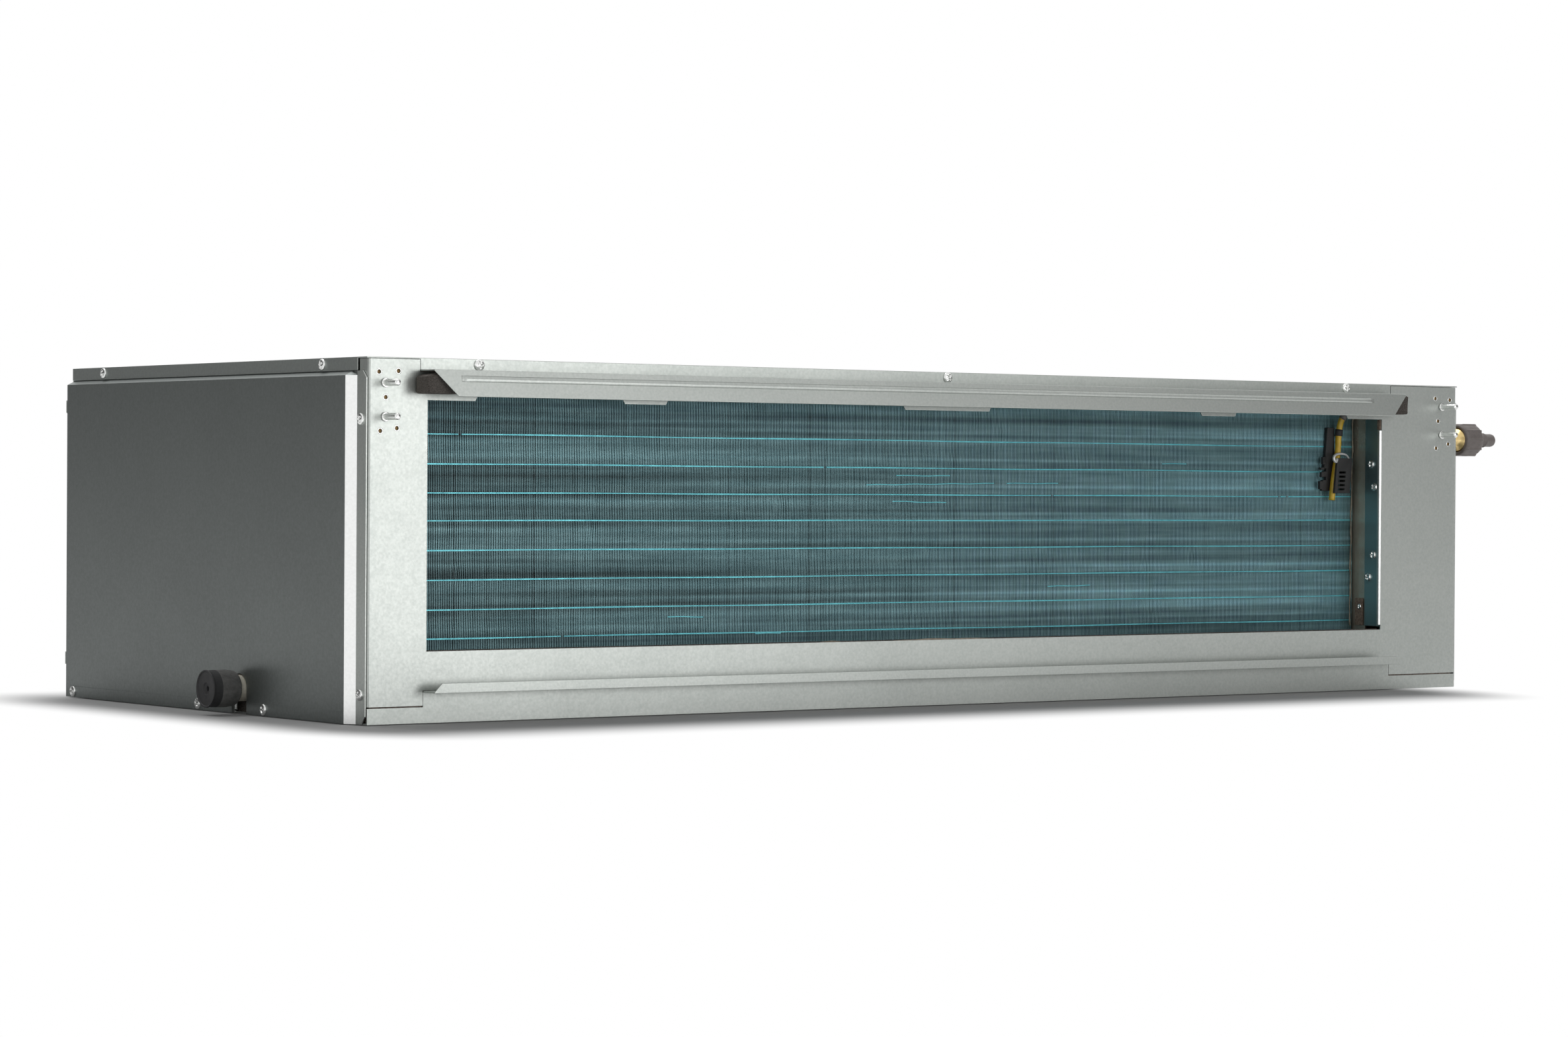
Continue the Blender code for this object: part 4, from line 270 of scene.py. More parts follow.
def surface(name: str, points: np.ndarray, around: bool = False, smooth: bool = True) -> bpy.types.Mesh:
    """Make a mesh of a grid of points.

    Each cell of the grid joins the points (i, j), (i+1, j), (i+1, j+1) and (i, j+1); with around, the last
    column joins the first again.

    Args:
        name: the mesh's name.
        points: array of shape (rows, columns, 3).
        around: whether the columns close into a ring.
        smooth: whether the faces are shaded smooth.

    Returns:
        The mesh.
    """
    rows, columns = points.shape[:2]
    index = np.arange(rows * columns).reshape(rows, columns)
    right = np.roll(index, -1, axis=1) if around else index[:, 1:]
    left = index if around else index[:, :-1]
    cells = np.stack((left[:-1], left[1:], right[1:], right[:-1]), axis=-1).reshape(-1, 4)
    return loose_mesh(name, points.reshape(-1, 3), cells, smooth)


def loose_mesh(name: str, verts: np.ndarray, cells: np.ndarray, smooth: bool = True) -> bpy.types.Mesh:
    """Make a mesh of four-sided faces.

    Args:
        name: the mesh's name.
        verts: array of shape (count, 3).
        cells: array of shape (faces, 4) of vertex numbers.
        smooth: whether the faces are shaded smooth.

    Returns:
        The mesh.
    """
    mesh = bpy.data.meshes.new(name)
    mesh.vertices.add(len(verts))
    mesh.vertices.foreach_set("co", verts.astype(np.float32).ravel())
    mesh.loops.add(cells.size)
    mesh.loops.foreach_set("vertex_index", cells.astype(np.int32).ravel())
    mesh.polygons.add(len(cells))
    mesh.polygons.foreach_set("loop_start", np.arange(0, cells.size, 4, dtype=np.int32))
    mesh.polygons.foreach_set("use_smooth", np.full(len(cells), smooth))
    mesh.update(calc_edges=True)
    mesh.validate()
    return mesh


def joined(name: str, meshes: Sequence[bpy.types.Mesh], merge: float = 0.0,
           outward: bool = False) -> bpy.types.Mesh:
    """Join several meshes into one.

    Args:
        name: the new mesh's name.
        meshes: the meshes, which are removed.
        merge: distance within which points are merged, or 0.
        outward: whether every closed piece has its faces turned outwards.

    Returns:
        The new mesh.
    """
    bm = bmesh.new()
    for mesh in meshes:
        bm.from_mesh(mesh)
        bpy.data.meshes.remove(mesh)
    if merge:
        bmesh.ops.remove_doubles(bm, verts=bm.verts, dist=merge)
    if outward:
        bmesh.ops.recalc_face_normals(bm, faces=bm.faces)
    mesh = bpy.data.meshes.new(name)
    bm.to_mesh(mesh)
    bm.free()
    return mesh


def turned(name: str, profile: Sequence[tuple[float, float]], origin: Sequence[float], axis: Axis,
           sides: int = 40, flutes: Optional[np.ndarray] = None) -> bpy.types.Mesh:
    """Turn a profile about an axis: place = origin + along * axis + radius * (cos t * across + sin t * up).

    Args:
        name: the mesh's name.
        profile: (along, radius) points; a radius of 0 closes the end.
        origin: the point where along is 0.
        axis: the direction of the axis.
        sides: number of columns round the axis.
        flutes: added radius for each (profile point, column), or None.

    Returns:
        The mesh, closed and facing outwards.
    """
    across, up, along = axis.frame()
    steps = np.array(profile)
    turn = np.linspace(0.0, 2.0 * math.pi, sides, endpoint=False)
    ring = np.cos(turn)[:, None] * across + np.sin(turn)[:, None] * up
    radius = np.repeat(steps[:, 1:2], sides, axis=1)
    if flutes is not None:
        radius = radius + flutes * (radius > 0.0)
    points = np.array(origin) + steps[:, None, None, 0] * along + radius[:, :, None] * ring[None]
    return joined(name, [surface(name, points, around=True)], merge=WELD, outward=True)


def rounded(profile: Sequence[tuple[float, float]], radius: float = 0.0005) -> list[tuple[float, float]]:
    """Cut each corner of a profile back, with a middle point, so that it shades as a rounded edge.

    Args:
        profile: (along, radius) points.
        radius: how far each corner is cut back, or less where a side is short.

    Returns:
        The new points.
    """
    points = np.array(profile)
    out = [tuple(points[0])]
    for before, corner, after in zip(points, points[1:], points[2:]):
        first, second = before - corner, after - corner
        reach = min(radius, 0.45 * np.linalg.norm(first), 0.45 * np.linalg.norm(second))
        start = corner + first / max(np.linalg.norm(first), 1e-9) * reach
        end = corner + second / max(np.linalg.norm(second), 1e-9) * reach
        middle = 0.5 * corner + 0.25 * (start + end)
        out += [tuple(start), tuple(middle), tuple(end)]
    return out + [tuple(points[-1])]


def smooth_path(points: Sequence[Sequence[float]], spacing: float) -> np.ndarray:
    """Sample a Catmull-Rom curve through points.

    Args:
        points: the places that the curve passes through.
        spacing: about how far its samples lie apart.

    Returns:
        The samples, one row each.
    """
    given = np.array(points, dtype=float)
    ends = np.vstack((2 * given[0] - given[1], given, 2 * given[-1] - given[-2]))
    parts = []
    for a, b, c, d in zip(ends, ends[1:], ends[2:], ends[3:]):
        t = np.linspace(0.0, 1.0, max(2, int(np.linalg.norm(c - b) / spacing)), endpoint=False)[:, None]
        parts.append(0.5 * (2 * b + (c - a) * t + (2 * a - 5 * b + 4 * c - d) * t ** 2
                            + (3 * b - a - 3 * c + d) * t ** 3))
    return np.vstack(parts + [given[-1:]])


def swept(name: str, path: np.ndarray, radius: np.ndarray | float, sides: int = 12) -> bpy.types.Mesh:
    """Carry a circle along a path: place = path + radius * (cos t * n + sin t * b), with flat closed ends.

    The directions n and b lie across the path's tangent, n turned least away from a fixed guide.

    Args:
        name: the mesh's name.
        path: the path's points, one row each.
        radius: the circle's radius, or one for each point.
        sides: number of points round the circle.

    Returns:
        The mesh, closed and facing outwards.
    """
    tangent = np.gradient(path, axis=0)
    tangent /= np.linalg.norm(tangent, axis=1)[:, None]
    spread = np.abs(tangent).mean(axis=0)
    guide = np.eye(3)[int(np.argmin(spread))]
    normal = guide - (tangent @ guide)[:, None] * tangent
    normal /= np.linalg.norm(normal, axis=1)[:, None]
    side = np.cross(tangent, normal)
    turn = np.linspace(0.0, 2.0 * math.pi, sides, endpoint=False)
    size = np.broadcast_to(np.asarray(radius, dtype=float), (len(path),))[:, None, None]
    ring = np.cos(turn)[None, :, None] * normal[:, None] + np.sin(turn)[None, :, None] * side[:, None]
    points = path[:, None] + size * ring
    points = np.concatenate((np.repeat(path[:1, None], sides, axis=1), points,
                             np.repeat(path[-1:, None], sides, axis=1)))
    return joined(name, [surface(name, points, around=True)], merge=WELD, outward=True)


def boxes(name: str, low: Sequence[float] | np.ndarray, high: Sequence[float] | np.ndarray) -> bpy.types.Mesh:
    """Make one mesh of one box or of many.

    Args:
        name: the mesh's name.
        low: the lowest corner of each box.
        high: the highest corner of each.

    Returns:
        The mesh.
    """
    low, high = np.atleast_2d(low), np.atleast_2d(high)
    pick = np.array([(x, y, z) for x in (0, 1) for y in (0, 1) for z in (0, 1)])
    verts = np.where(pick[None] == 1, high[:, None], low[:, None]).reshape(-1, 3)
    faces = np.array(((0, 1, 3, 2), (4, 6, 7, 5), (0, 4, 5, 1), (2, 3, 7, 6), (0, 2, 6, 4), (1, 5, 7, 3)))
    cells = (faces[None] + 8 * np.arange(len(low))[:, None, None]).reshape(-1, 4)
    return loose_mesh(name, verts, cells, smooth=False)


def add(name: str, mesh: bpy.types.Mesh, finish: Finish, body: str = "casing",
        replaces: Sequence[str] = ()) -> bpy.types.Object:
    """Put a piece into the scene, dressed, riding on a body.

    Args:
        name: the piece's name.
        mesh: its mesh, already in place.
        finish: its finish.
        body: the body that it rides on.
        replaces: the solids that it stands for.

    Returns:
        The object.
    """
    mesh.materials.clear()
    mesh.materials.append(finish.material())
    piece = bpy.data.objects.new(name, mesh)
    bpy.context.scene.collection.objects.link(piece)
    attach(piece, body)
    if replaces:
        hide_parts(*replaces)
    LOG.info("made %s: %d faces", name, len(mesh.polygons))
    return piece


def soften(piece: bpy.types.Object, width: float, segments: int = 2, angle: float = 35.0,
           flat: bool = False) -> bpy.types.Object:
    """Round a piece's sharp edges with a bevel.

    Args:
        piece: the piece.
        width: width of the rounded edges.
        segments: faces across each of them.
        angle: edges sharper than this are rounded, in degrees.
        flat: whether the faces are shaded flat, as on folded sheet.

    Returns:
        The piece.
    """
    bevel = piece.modifiers.new("soft_edges", "BEVEL")
    bevel.width = width
    bevel.segments = segments
    bevel.limit_method = "ANGLE"
    bevel.angle_limit = math.radians(angle)
    bevel.harden_normals = not flat
    if flat:
        piece.data.shade_flat()
    else:
        piece.data.shade_smooth()
    return piece


def dress(node: str, finish: Finish, bevel: float = 0.0, body: str = "casing", angle: float = 35.0,
          flat: bool = False) -> bpy.types.Object:
    """Give a solid its finish; with a bevel, a merged copy with rounded edges stands for it.

    Args:
        node: the solid's name.
        finish: its finish.
        bevel: width of the rounded edges, or 0 to keep the solid itself.
        body: the body that the solid belongs to.
        angle: edges sharper than this are rounded, in degrees.
        flat: whether the faces are shaded flat, as on folded sheet.

    Returns:
        The object that is seen.
    """
    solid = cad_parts[node]
    if not bevel:
        solid.data.materials.clear()
        solid.data.materials.append(finish.material())
        return solid
    bm = bmesh.new()
    bm.from_mesh(solid.data)
    bmesh.ops.remove_doubles(bm, verts=bm.verts, dist=0.000002)
    bmesh.ops.dissolve_limit(bm, angle_limit=math.radians(2.0), verts=bm.verts, edges=bm.edges)
    mesh = bpy.data.meshes.new(node + "_dressed")
    bm.to_mesh(mesh)
    bm.free()
    return soften(add(node + "_dressed", mesh, finish, body, (node,)), bevel, angle=angle, flat=flat)


def pan_screws(name: str, places: Sequence[tuple[Sequence[float], Axis]], finish: Finish,
               radius: float = PAN_SCREW_RADIUS, body: str = "casing") -> bpy.types.Object:
    """Make pan-head screws with a cross recess.

    The head is a grid of radius r and angle t with height h = 0.55 R * sqrt(1 - 0.8 (r/R)^2) down to a skirt;
    where |x| or |y| is under 0.15 R and r is under 0.62 R the recess takes 0.32 R away.

    Args:
        name: the piece's name.
        places: the foot of each head and the way it points.
        finish: the screws' finish.
        radius: radius R of the heads.
        body: the body that they ride on.

    Returns:
        The object that holds them all.
    """
    ring = np.array((0.0, 0.12, 0.2, 0.32, 0.46, 0.6, 0.66, 0.78, 0.9, 0.97, 1.0, 1.0)) * radius
    turn = np.linspace(0.0, 2.0 * math.pi, 32, endpoint=False) + 0.3
    across, up = ring[:, None] * np.cos(turn), ring[:, None] * np.sin(turn)
    dome = np.sqrt(np.clip(1.0 - 0.8 * (ring / radius) ** 2, 0.0, 1.0))
    height = 0.55 * radius * dome[:, None] + 0 * across
    narrow = np.minimum(np.abs(across), np.abs(up)) < 0.15 * radius
    height -= np.where(narrow & (ring[:, None] < 0.62 * radius), 0.32 * radius, 0.0)
    height[-1] = -0.0001
    meshes = []
    for index, (foot, way) in enumerate(places):
        first, second, out = way.frame()
        spin = 0.7 * index
        a = across * math.cos(spin) - up * math.sin(spin)
        b = across * math.sin(spin) + up * math.cos(spin)
        points = np.array(foot) + a[..., None] * first + b[..., None] * second + height[..., None] * out
        meshes.append(surface(f"{name}_{index}", points, around=True))
    return add(name, joined(name, meshes, merge=WELD), finish, body)


@dataclass
class Casing:
    """The folded sheet metal casing, its duct flanges, seals, studs and screws."""

    left: float = -0.546
    right: float = 0.546
    front: float = -0.228
    rear: float = 0.228
    top: float = 0.260
    edge: float = 0.00035
    tray: float = 0.0053
    side_flange: float = 0.0135
    bead_rise: float = 0.0009
    bead_width: float = 0.0042
    stud_radius: float = 0.0025
    stud_length: float = 0.0175
    stud_pitch: float = 0.0008
    stud_from_left: float = 0.015
    stud_from_right: float = 0.019
    stud_drops: tuple[float, float] = (0.0182, 0.0423)
    front_screws: tuple[float, ...] = (0.093, 0.525, 0.958)
    flange_screws: tuple[float, ...] = (0.216, 0.021)
    skirt_screws: tuple[float, ...] = (0.062, 0.401)
    tray_screws: tuple[float, ...] = (0.135, 0.2345, 0.440)
    rear_screws: tuple[float, ...] = (-0.50, -0.17, 0.17, 0.50)
    rear_screw_rows: tuple[float, ...] = (0.0125, 0.2475)

    def build(self) -> None:
        """Make every piece of the casing."""
        sheets = {node: dress(node, GALVANISED, self.edge, flat=True) for node in (
            "front_panel", "top_cover", "bottom_plate", "rear_panel", "fan_deck", "pipe_bulkhead",
            "filter_rail_lower", "filter_rail_upper")}
        # painted light: each side panel takes the darker painted-shade copy of the galvanised sheet, its
        # faces that lean towards the front take the painted-highlight copy, and its front flange takes the
        # plain galvanised sheet
        for node in ("left_side_panel", "right_side_panel"):
            panel = dress(node, GALVANISED_PAINTED_SHADE, self.edge, angle=12.0, flat=True)
            panel.data.materials.append(FOLD_PAINTED_HIGHLIGHT.material())
            panel.data.materials.append(GALVANISED.material())
            for face in panel.data.polygons:
                if -0.95 < face.normal.y < -0.3:
                    face.material_index = 1
                elif face.center.y < self.front + self.side_flange:
                    face.material_index = 2
        # painted shade: the top cover's faces that face sideways take the darker painted-shade copy of the
        # sheet
        cover = sheets["top_cover"]
        cover.data.materials.append(SKIRT_PAINTED_SHADE.material())
        for face in cover.data.polygons:
            face.material_index = int(abs(face.normal.x) > 0.9)
        self.bead()
        self.studs()
        self.seals()
        self.pilots()
        self.lips()
        pan_screws("casing_screws", self.screw_places(), ZINC_BRIGHT)

    def screw_places(self) -> list[tuple[tuple[float, float, float], Axis]]:
        """Return the foot and direction of each screw in the casing's sheets."""
        places = [((self.left + x, self.front, self.top - 0.0042), Axis.FRONT) for x in self.front_screws]
        for edge, way, sign in ((self.left, Axis.LEFT, -1), (self.right, Axis.RIGHT, 1)):
            outside = edge + sign * (self.tray + 0.0003)
            places += [((edge, self.front + 0.0078, z), way) for z in self.flange_screws]
            places += [((edge, self.front + depth, self.top - 0.0048), way) for depth in self.skirt_screws]
            places += [((outside, self.front + depth, 0.0046), way) for depth in self.tray_screws]
        places += [((x, self.rear, z), Axis.REAR) for x in self.rear_screws for z in self.rear_screw_rows]
        return places

    def bead(self) -> None:
        """Raise a bead along the upper flange's strip.

        Along the strip t runs from 0 to 1 and across it s from -1 to 1; the height over the sheet is
        rise * (1 - s^2) * ends(t), where ends falls to 0 over the last 8 mm.
        """
        t = np.linspace(0.0, 1.0, 220)[:, None]
        s = np.linspace(-1.0, 1.0, 9)[None, :]
        x = self.left + 0.066 + t * 0.905 + 0 * s
        ends = np.clip(np.minimum(t, 1.0 - t) * 0.905 / 0.008, 0.0, 1.0) ** 0.5
        broken = 1.0 - np.exp(-(((x - self.left - 0.622) / 0.0016) ** 2))
        down = 0.0063 + s * self.bead_width / 2
        lean = 0.004 / 0.019
        height = self.bead_rise * (1.0 - s ** 2) * ends * broken + 0.00002
        y = self.front - 0.019 - down * lean - height + 0.00001
        z = self.top - 0.0085 - down - height * lean
        mesh = surface("flange_bead", np.stack((x, y, z + 0 * x), axis=-1))
        piece = add("flange_bead", mesh, GALVANISED)
        thick = piece.modifiers.new("wall", "SOLIDIFY")
        thick.thickness = 0.0004
        thick.offset = 0.0

    def studs(self) -> None:
        """Cut a thread on each stud: radius = R - 0.14 pitch * |2 frac(along / pitch - t / 2 pi) - 1|."""
        rows, sides = 132, 16
        along = np.linspace(0.0012, self.stud_length, rows)
        turn = np.linspace(0.0, 2.0 * math.pi, sides, endpoint=False)
        saw = np.abs(2.0 * ((along[:, None] / self.stud_pitch - turn[None] / (2 * math.pi)) % 1.0) - 1.0)
        tip = np.clip((self.stud_length - along[:, None]) / 0.0007, 0.0, 1.0)
        radius = (self.stud_radius - 0.14 * self.stud_pitch * saw) * (0.8 + 0.2 * tip)
        across, up, out = Axis.FRONT.frame()
        ring = np.cos(turn)[:, None] * across + np.sin(turn)[:, None] * up
        meshes = []
        for x in (self.left + self.stud_from_left, self.right - self.stud_from_right):
            for z in (self.top - drop for drop in self.stud_drops):
                foot = np.array((x, self.front - 0.0003, z))
                thread = foot + along[:, None, None] * out + radius[..., None] * ring[None]
                tipped = np.repeat((foot + self.stud_length * out)[None, None], sides, axis=1)
                meshes.append(surface("thread", np.concatenate((thread, tipped)), around=True))
                collar = [(0.0, 0.0), (0.0, 0.0034), (0.0012, 0.0034), (0.0013, 0.0022), (0.0013, 0.0)]
                meshes.append(turned("collar", rounded(collar, 0.0003), foot, Axis.FRONT, sides=20))
        add("studs", joined("studs", meshes, merge=0.000005, outward=True), ZINC_BRIGHT, replaces=(
            "stud_left_upper", "stud_left_lower", "stud_right_upper", "stud_right_lower"))

    def seals(self) -> None:
        """Press soft foam between the frame and the upper flange.

        Each block is a superellipsoid-like pad: x, y and z over the unit sphere's angles, raised to 0.16,
        with a small ripple of the skin.
        """
        u = np.linspace(-math.pi, math.pi, 61)[:, None]
        v = np.linspace(-math.pi / 2, math.pi / 2, 31)[None]

        def power(value: np.ndarray) -> np.ndarray:
            """Return the value with its size raised to 0.16."""
            return np.sign(value) * np.abs(value) ** 0.16

        for side in ("left", "right"):
            low, high = (np.array(corner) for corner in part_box(f"outlet_seal_{side}"))
            half = (high - low) / 2
            ripple = 1.0 - 0.035 * (1.0 + np.sin(7 * u + 3.0) * np.sin(5 * v)) * np.cos(v)
            shape = np.stack((power(np.cos(v)) * power(np.cos(u)), power(np.cos(v)) * power(np.sin(u)),
                              power(np.sin(v)) + 0 * u), axis=-1) * ripple[..., None]
            if side == "left":
                slope = np.clip(-shape[..., 0], 0.0, 1.0)
                shape[..., 2] -= 0.42 * slope * (shape[..., 2] > 0.0)
            pad = surface("seal", (low + high) / 2 + half * shape)
            add(f"outlet_seal_{side}_foam", joined("seal", [pad], merge=WELD, outward=True), SEAL_FOAM,
                replaces=(f"outlet_seal_{side}",))

    def lips(self) -> None:
        """Fold the bottom plate's edge up outside both side trays, with a gap at the spout's notch."""
        low, high = [], []
        for side, spans in ((-1, ((-0.2065, -0.0672), (-0.0448, 0.2205))), (1, ((-0.2065, 0.2205),))):
            for start, end in spans:
                x = sorted((side * (self.right + self.tray), side * (self.right + self.tray + 0.00035)))
                low.append((x[0], start, 0.0002))
                high.append((x[1], end, 0.0087))
        # the lips take the side panels' darker painted-shade copy of the galvanised sheet
        lips = boxes("tray_lips", np.array(low), np.array(high))
        soften(add("tray_lips", lips, GALVANISED_PAINTED_SHADE), 0.00012, flat=True)

    def pilots(self) -> None:
        """Back the posts' pilot holes with the brown sealing sheet behind them."""
        x0, x1 = self.left + self.stud_from_left, self.right - self.stud_from_right
        z0, z1 = (self.top - drop for drop in self.stud_drops)
        places = [(x0 - 0.0051, z0 + 0.0076), (x0 + 0.0109, z0 + 0.0084), (x0 + 0.0004, z0 - 0.0103),
                  (x0 - 0.0040, z1 - 0.0101), (x0 + 0.0096, z1 - 0.0080), (x1 - 0.0075, z0 + 0.0072),
                  (x1 + 0.0100, z0 + 0.0062), (x1 - 0.0040, z0 - 0.0122), (x1 - 0.0063, z1 - 0.0114),
                  (x1 + 0.0084, z1 - 0.0077)]
        meshes = [turned("pilot", [(0.0, 0.0), (0.0, 0.0021), (0.0006, 0.0021), (0.0006, 0.0)],
                         (x, self.front + 0.0017, z), Axis.FRONT, sides=16) for x, z in places]
        add("pilot_backing", joined("pilot_backing", meshes), PILOT_DARK)
        rim = [(0.0, 0.00160), (0.00012, 0.00175), (0.00018, 0.00195), (0.00010, 0.00220), (0.0, 0.00235),
               (-0.0002, 0.00195), (0.0, 0.00160)]
        meshes = [turned("rim", rim, (x, self.front, z), Axis.FRONT, sides=20) for x, z in places]
        add("pilot_rims", joined("pilot_rims", meshes), ZINC_BRIGHT)


@dataclass
class Coil:
    """The fin block with its collars, end plates, baffle, drain pan and foam."""

    start: float = -0.5205
    end: float = 0.4573
    face: float = -0.193
    back: float = -0.1566
    low: float = 0.0371
    high: float = 0.2491
    fin_pitch: float = 0.0015
    fin_thickness: float = 0.00062
    row_pitch: float = 0.02118
    band_height: float = 0.1918
    tube_rows: tuple[float, ...] = (0.2066, 0.185, 0.164, 0.1438, 0.1223, 0.1008, 0.0792, 0.0583)
    window: float = -0.228
    wall: float = 0.4563
    wall_screws: tuple[tuple[float, float], ...] = (
        (0.0134, 0.192), (0.0094, 0.1725), (0.0105, 0.1144), (0.0162, 0.0954))
    wall_screw_radius: float = 0.0036
    pan_rim_drop: float = 0.0028
    stray_lines: tuple[tuple[float, ...], ...] = (
        (-0.0435, 0.0085, 0.1791, 0.0), (-0.0731, 0.0541, 0.1717, 0.0017), (0.0693, 0.1229, 0.1735, 0.0002),
        (-0.0473, 0.0060, 0.1588, -0.0009), (0.236, 0.262, 0.1905, 0.0003), (-0.262, -0.231, 0.0712, -0.0003),
        (0.113, 0.158, 0.0905, 0.0004), (-0.180, -0.158, 0.0572, 0.0002))

    def build(self) -> None:
        """Make every piece of the coil."""
        self.fins()
        self.collars()
        self.paint_core_shade()
        dress("coil_end_plate_left", ZINC_BRIGHT)
        dress("coil_end_plate_right", WALL_ZINC)
        dress("side_baffle", BAFFLE_ZINC)
        dress("lid_insulation", BROWN_FOAM)
        pan = dress("drain_pan", PAN_FOAM, 0.0012)
        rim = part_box("drain_pan")[1].z
        for vertex in pan.data.vertices:
            vertex.co.z -= self.pan_rim_drop * (vertex.co.z > rim - 0.0015)
        pan_screws("baffle_screws", [((self.wall, self.window + depth, z), Axis.LEFT)
                                     for depth, z in self.wall_screws], ZINC_BRIGHT, self.wall_screw_radius)
        pad = boxes("corner_pad", (0.4548, -0.2062, 0.0540), (0.4562, -0.1972, 0.0772))
        soften(add("corner_pad", pad, BROWN_FOAM), 0.0003)
        pan_screws("corner_pad_screw", [((0.4548, -0.2030, 0.070), Axis.LEFT)], ZINC_BRIGHT, radius=0.0022)
        self.edge_strip()
        self.hem()
        self.sill()
        pad = boxes("return_pad", (0.4538, -0.2269, 0.2212), (0.45498, -0.2236, 0.2296))
        soften(add("return_pad", pad, BROWN_FOAM), 0.0003)

    def hem(self) -> None:
        """Fold the right post's inner edge over: one section, its outer face leaning, carried upwards."""
        section = np.array(((0.4550, -0.2278), (0.4534, -0.2272), (0.4532, -0.2268), (0.4534, -0.2264),
                            (0.4550, -0.2255)))
        ring = np.stack([np.column_stack((section, np.full(5, z))) for z in (0.0552, 0.2205)])
        walls = [(k, (k + 1) % 5, 5 + (k + 1) % 5, 5 + k) for k in range(5)]
        mesh = bpy.data.meshes.new("post_hem")
        mesh.from_pydata(ring.reshape(-1, 3).tolist(), [], [*walls, (4, 3, 2, 1, 0), (5, 6, 7, 8, 9)])
        add("post_hem", joined("post_hem", [mesh], outward=True), HEM_ZINC)

    def sill(self) -> None:
        """Show the dark seal behind the window's sill, and the loose film that lifts over it in two places.

        The film's edge is at sill + 1 mm * max(0, 1 - ((x - middle) / half)^2) * (1 + 0.25 sin(140 x)).
        """
        seal = boxes("sill_seal", (-0.4945, -0.2262, 0.0498), (0.4525, -0.2256, 0.0518))
        add("sill_seal", seal, SEAL_FOAM)
        films = []
        for middle, half in ((-0.1335, 0.010), (-0.0220, 0.050)):
            x = np.linspace(middle - half, middle + half, 40)
            lift = 0.0010 * (1.0 - ((x - middle) / half) ** 2) * (1.0 + 0.25 * np.sin(140.0 * x))
            low = np.stack((x[:-1], 0 * x[:-1] - 0.2268, 0 * x[:-1] + 0.0500), axis=-1)
            high = np.stack((x[1:] + 0.0002, 0 * x[1:] - 0.2264, 0.0511 + lift[1:]), axis=-1)
            films.append(boxes("sill_film", low, high))
        add("sill_film", joined("sill_film", films), EDGE_SEALANT)

    def edge_strip(self) -> None:
        """Run sealant down the coil's last fin: x = 452.7 mm + 2.6 mm * rise^2 + ripple, before the fins."""
        rise = np.linspace(0.0, 1.0, 90)
        z = 0.0535 + rise * (self.high - 0.0545)
        x = 0.4527 + 0.0026 * rise ** 2 + 0.00035 * np.sin(z * 160.0) + 0.0002 * np.sin(z * 410.0)
        path = np.stack((x, 0 * z + self.face - 0.0005, z), axis=-1)
        add("coil_edge_sealant", swept("coil_edge_sealant", path, 0.0006 + 0.00016 * np.sin(z * 250.0), 10),
            EDGE_SEALANT)

    def fins(self) -> None:
        """Stand thin fins side by side.

        Fin k is at x = start + k * pitch + wave, where wave is a slow ripple up the fin with a few dents, and
        its front edge lies at y = face + 0.25 mm * (1 + ripple). Its tone_and_painted_light value is painted
        light that brightens along the coil, with a random tone for each fin.
        """
        count = int((self.end - self.start) / self.fin_pitch)
        rng = np.random.default_rng(7)
        rows = 26
        z = np.linspace(self.low, self.high, rows)
        k = np.arange(count)[:, None]
        drift = 0.00010 * np.sin(z[None] * 61.0 + k * 0.043) + 0.00004 * rng.standard_normal((count, 1))
        dents = np.zeros((count, rows))
        for _ in range(30):
            at, level, size = rng.uniform(0, count), rng.uniform(0.06, 0.235), rng.uniform(0.0002, 0.0006)
            dent = np.exp(-((k - at) / 3.2) ** 2 - ((z[None] - level) / 0.006) ** 2)
            dents += size * dent * rng.choice((-1, 1))
        x = self.start + 0.0004 + k * self.fin_pitch + drift + dents
        y0 = self.face + 0.00025 * (1.0 + np.sin(z[None] * 148.0 + 0.8 * np.sin(k * 0.07))) + np.abs(dents)
        half = self.fin_thickness / 2
        up, back = 0 * x + z, 0 * x + self.back
        corners = np.stack([np.stack((x + side, depth, up), -1) for side, depth in (
            (-half, y0), (half, y0), (half, back), (-half, back))], axis=2)
        index = np.arange(count * rows * 4).reshape(count, rows, 4)
        after = np.roll(index, -1, axis=2)
        sides = np.stack((index[:, :-1], after[:, :-1], after[:, 1:], index[:, 1:]), -1).reshape(-1, 4)
        ends = np.concatenate((index[:, 0, ::-1], index[:, -1]))
        mesh = loose_mesh("coil_fin_stack", corners.reshape(-1, 3), np.concatenate((sides, ends)), False)
        # painted light: the fins brighten from the drain end to the pipe end; the noise and the few darker
        # fins are random tone
        tone_and_painted_light = np.clip(0.58 + 0.40 * np.linspace(-1.0, 1.0, count) + 0.06 * rng.standard_normal(count)
                        - 0.30 * (rng.random(count) > 0.985), 0.0, 1.0)
        attribute = mesh.attributes.new("tone_and_painted_light", "FLOAT", "POINT")
        attribute.data.foreach_set("value", np.repeat(tone_and_painted_light, rows * 4).astype(np.float32))
        piece = add("coil_fin_stack", mesh, FIN_METAL, replaces=("coil_fins",))
        self.tone(piece.data.materials[0])

